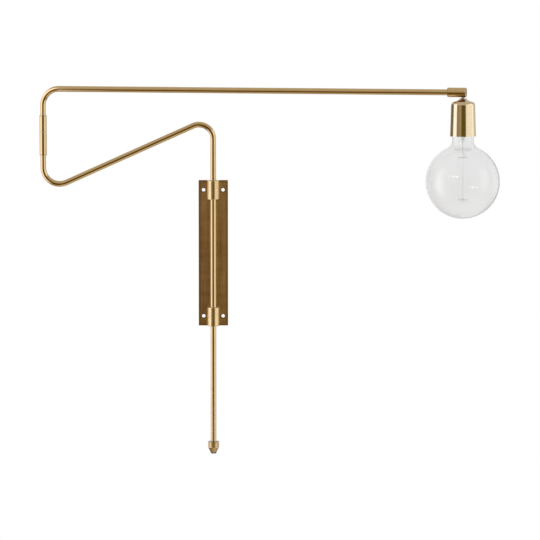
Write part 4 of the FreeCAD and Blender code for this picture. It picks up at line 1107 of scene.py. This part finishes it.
def floor_material():
    material, tree, shader = new_material("pale floor", Roughness=FLOOR_ROUGH)
    place = object_place(tree)
    mottle = noise(tree, place, FLOOR_MOTTLE, detail=4.0)
    feed(tree, shader.inputs["Base Color"], mixed(tree, mottle, FLOOR_PALE, FLOOR_WHITE))
    gap = vector_node(tree, "DISTANCE", place, FLOOR_CENTRE, out="Value")
    fade = ranged(tree, gap, FLOOR_FADE, FLOOR_RADIUS, FLOOR_GLOW, 1.0)
    glow = add(tree, "ShaderNodeEmission", Color=WHITE_BACK, Strength=1.0).outputs["Emission"]
    upper = mixed_shader(tree, times(tree, seen_rays(tree), fade), shader.outputs["BSDF"], glow)
    below = add(tree, "ShaderNodeNewGeometry").outputs["Backfacing"]
    clear = add(tree, "ShaderNodeBsdfTransparent").outputs["BSDF"]
    feed(tree, tree.nodes["Material Output"].inputs["Surface"], mixed_shader(tree, below, upper, clear))
    return material


floor_mesh = bpy.data.meshes.new("pale_floor")
floor_shape = bmesh.new()
bmesh.ops.create_circle(floor_shape, cap_ends=True, radius=FLOOR_RADIUS, segments=FLOOR_SIDES)
bmesh.ops.translate(floor_shape, vec=FLOOR_CENTRE, verts=floor_shape.verts)
floor_shape.to_mesh(floor_mesh)
floor_shape.free()
floor_mesh.materials.append(floor_material())
floor = bpy.data.objects.new("pale_floor", floor_mesh)
floor.visible_glossy = False
bpy.context.scene.collection.objects.link(floor)


# Camera
# A long lens about 6.5 m in front of the wall and half a metre above the plate's middle, tilted down by
# five degrees.

CAMERA_PLACE = (0.0963, -6.4808, 0.5376)
CAMERA_TILT = math.radians(85)
CAMERA_LENS = 254.9
CAMERA_SENSOR = 36
camera = bpy.data.objects.new("photo_camera", bpy.data.cameras.new("photo_camera"))
camera.location = CAMERA_PLACE
camera.rotation_euler = (CAMERA_TILT, 0, 0)
camera.data.sensor_width = CAMERA_SENSOR
camera.data.lens = CAMERA_LENS
bpy.context.scene.collection.objects.link(camera)
bpy.context.scene.camera = camera
bpy.context.scene.view_settings.view_transform = "Standard"


# Soft boxes
# Large soft boxes to both sides of the lamp light the brass. The globe has boxes of its own: a wide one for
# the glow on its left and two small ones, each with a fainter tail, for its glints.

LEFT_BOX = (1.17, 1.33, 2.0)
LEFT_GLOW = (1.45, 1.45, 1.45)
LEFT_WRAP = (0.95, 0.98, 1.1)
RIGHT_BOX = (0.86, 0.94, 1.2)
GLINT = (16.0, 16.0, 16.0)
GLINT_TAIL = (3.0, 3.0, 3.0)
LEFT_BOX_SIZE = (1.1, 2.2)
LEFT_GLOW_SIZE = (1.6, 3.0)
LEFT_WRAP_SIZE = (1.0, 1.6)
RIGHT_BOX_SIZE = (3.0, 2.6)
GLINT_SIZE = (0.11, 0.09)
TAIL_SIZE = (0.6, 0.08)
LEFT_CENTRE = (-0.99, -0.386, 0.05)
LEFT_TARGET = (-0.102, 0.072, 0.05)
WRAP_CENTRE = (-0.85, 0.55, 0.05)
WRAP_TARGET = (-0.2, -0.012, 0.05)
RIGHT_CENTRE = (1.675, -1.075, 0.1)
RIGHT_TARGET = (0.687, -0.919, 0.1)
GLOBE_CENTRE = (0.415, -0.168, 0.132)
GLINT_AWAY = 2.1
GLINT_PLACES = (("left", -0.165, 0.13), ("right", 0.235, -0.145))
TAIL_SHIFT = 0.085
TAIL_LIFT = 0.012


def soft_box(name, centre, target, size, radiance, fade=0.0, only=(), but=()):
    """A rectangular light that faces a target, as bright as asked in its middle. Its edges may fade over a
    share of its sides, and it may be kept to some pieces or off some pieces."""
    light = bpy.data.lights.new(name, "AREA")
    light.shape = "RECTANGLE"
    light.size, light.size_y = size
    light.color = [share / max(radiance) for share in radiance]
    light.energy = max(radiance) * math.pi * math.prod(size)
    if fade:
        light.use_nodes = True
        tree = light.node_tree
        apart = parted(tree, add(tree, "ShaderNodeNewGeometry").outputs["Parametric"])
        shares = []
        for axis in ("X", "Y"):
            gap = math_node(tree, "MINIMUM", apart[axis], minus(tree, 1.0, apart[axis]))
            shares.append(ranged(tree, gap, 0.0, fade))
        feed(tree, tree.nodes["Emission"].inputs["Strength"], times(tree, *shares))
    box = bpy.data.objects.new(name, light)
    box.location = centre
    box.rotation_euler = (Vector(target) - Vector(centre)).to_track_quat("-Z", "Y").to_euler()
    box.visible_camera = False
    if only or but:
        lit = bpy.data.collections.new(name + " reach")
        for piece in (*only, *but):
            lit.objects.link(piece)
        for member in lit.collection_objects:
            member.light_linking.link_state = "INCLUDE" if only else "EXCLUDE"
        box.light_linking.receiver_collection = lit
    bpy.context.scene.collection.objects.link(box)


def mirrored(across, up):
    """Where a light stands to show in the globe's front at these shares of its radius."""
    ahead = Vector((0, -math.sin(CAMERA_TILT), math.cos(CAMERA_TILT)))
    upward = Vector((0, math.cos(CAMERA_TILT), math.sin(CAMERA_TILT)))
    facing = Vector((across, 0, 0)) + up * upward + math.sqrt(1 - across ** 2 - up ** 2) * ahead
    return Vector(GLOBE_CENTRE) + GLINT_AWAY * (2 * ahead.dot(facing) * facing - ahead)


globe = [nodes["bulb_glass"]]
globe_and_cup = [nodes["bulb_glass"], nodes["holder_cup"]]
soft_box("left_box", LEFT_CENTRE, LEFT_TARGET, LEFT_BOX_SIZE, LEFT_BOX, fade=0.1, but=globe)
soft_box("right_box", RIGHT_CENTRE, RIGHT_TARGET, RIGHT_BOX_SIZE, RIGHT_BOX, fade=0.08, but=globe)
soft_box("left_wrap", WRAP_CENTRE, WRAP_TARGET, LEFT_WRAP_SIZE, LEFT_WRAP, fade=0.15, but=globe_and_cup)
soft_box("left_glow", LEFT_CENTRE, LEFT_TARGET, LEFT_GLOW_SIZE, LEFT_GLOW, fade=0.5, only=globe)
for side, across, up in GLINT_PLACES:
    turned = math.copysign(1, across)
    tail = mirrored(across + turned * TAIL_SHIFT, up - turned * TAIL_LIFT)
    soft_box(side + "_glint", mirrored(across, up), GLOBE_CENTRE, GLINT_SIZE, GLINT, only=globe)
    soft_box(side + "_glint_tail", tail, GLOBE_CENTRE, TAIL_SIZE, GLINT_TAIL, only=globe)
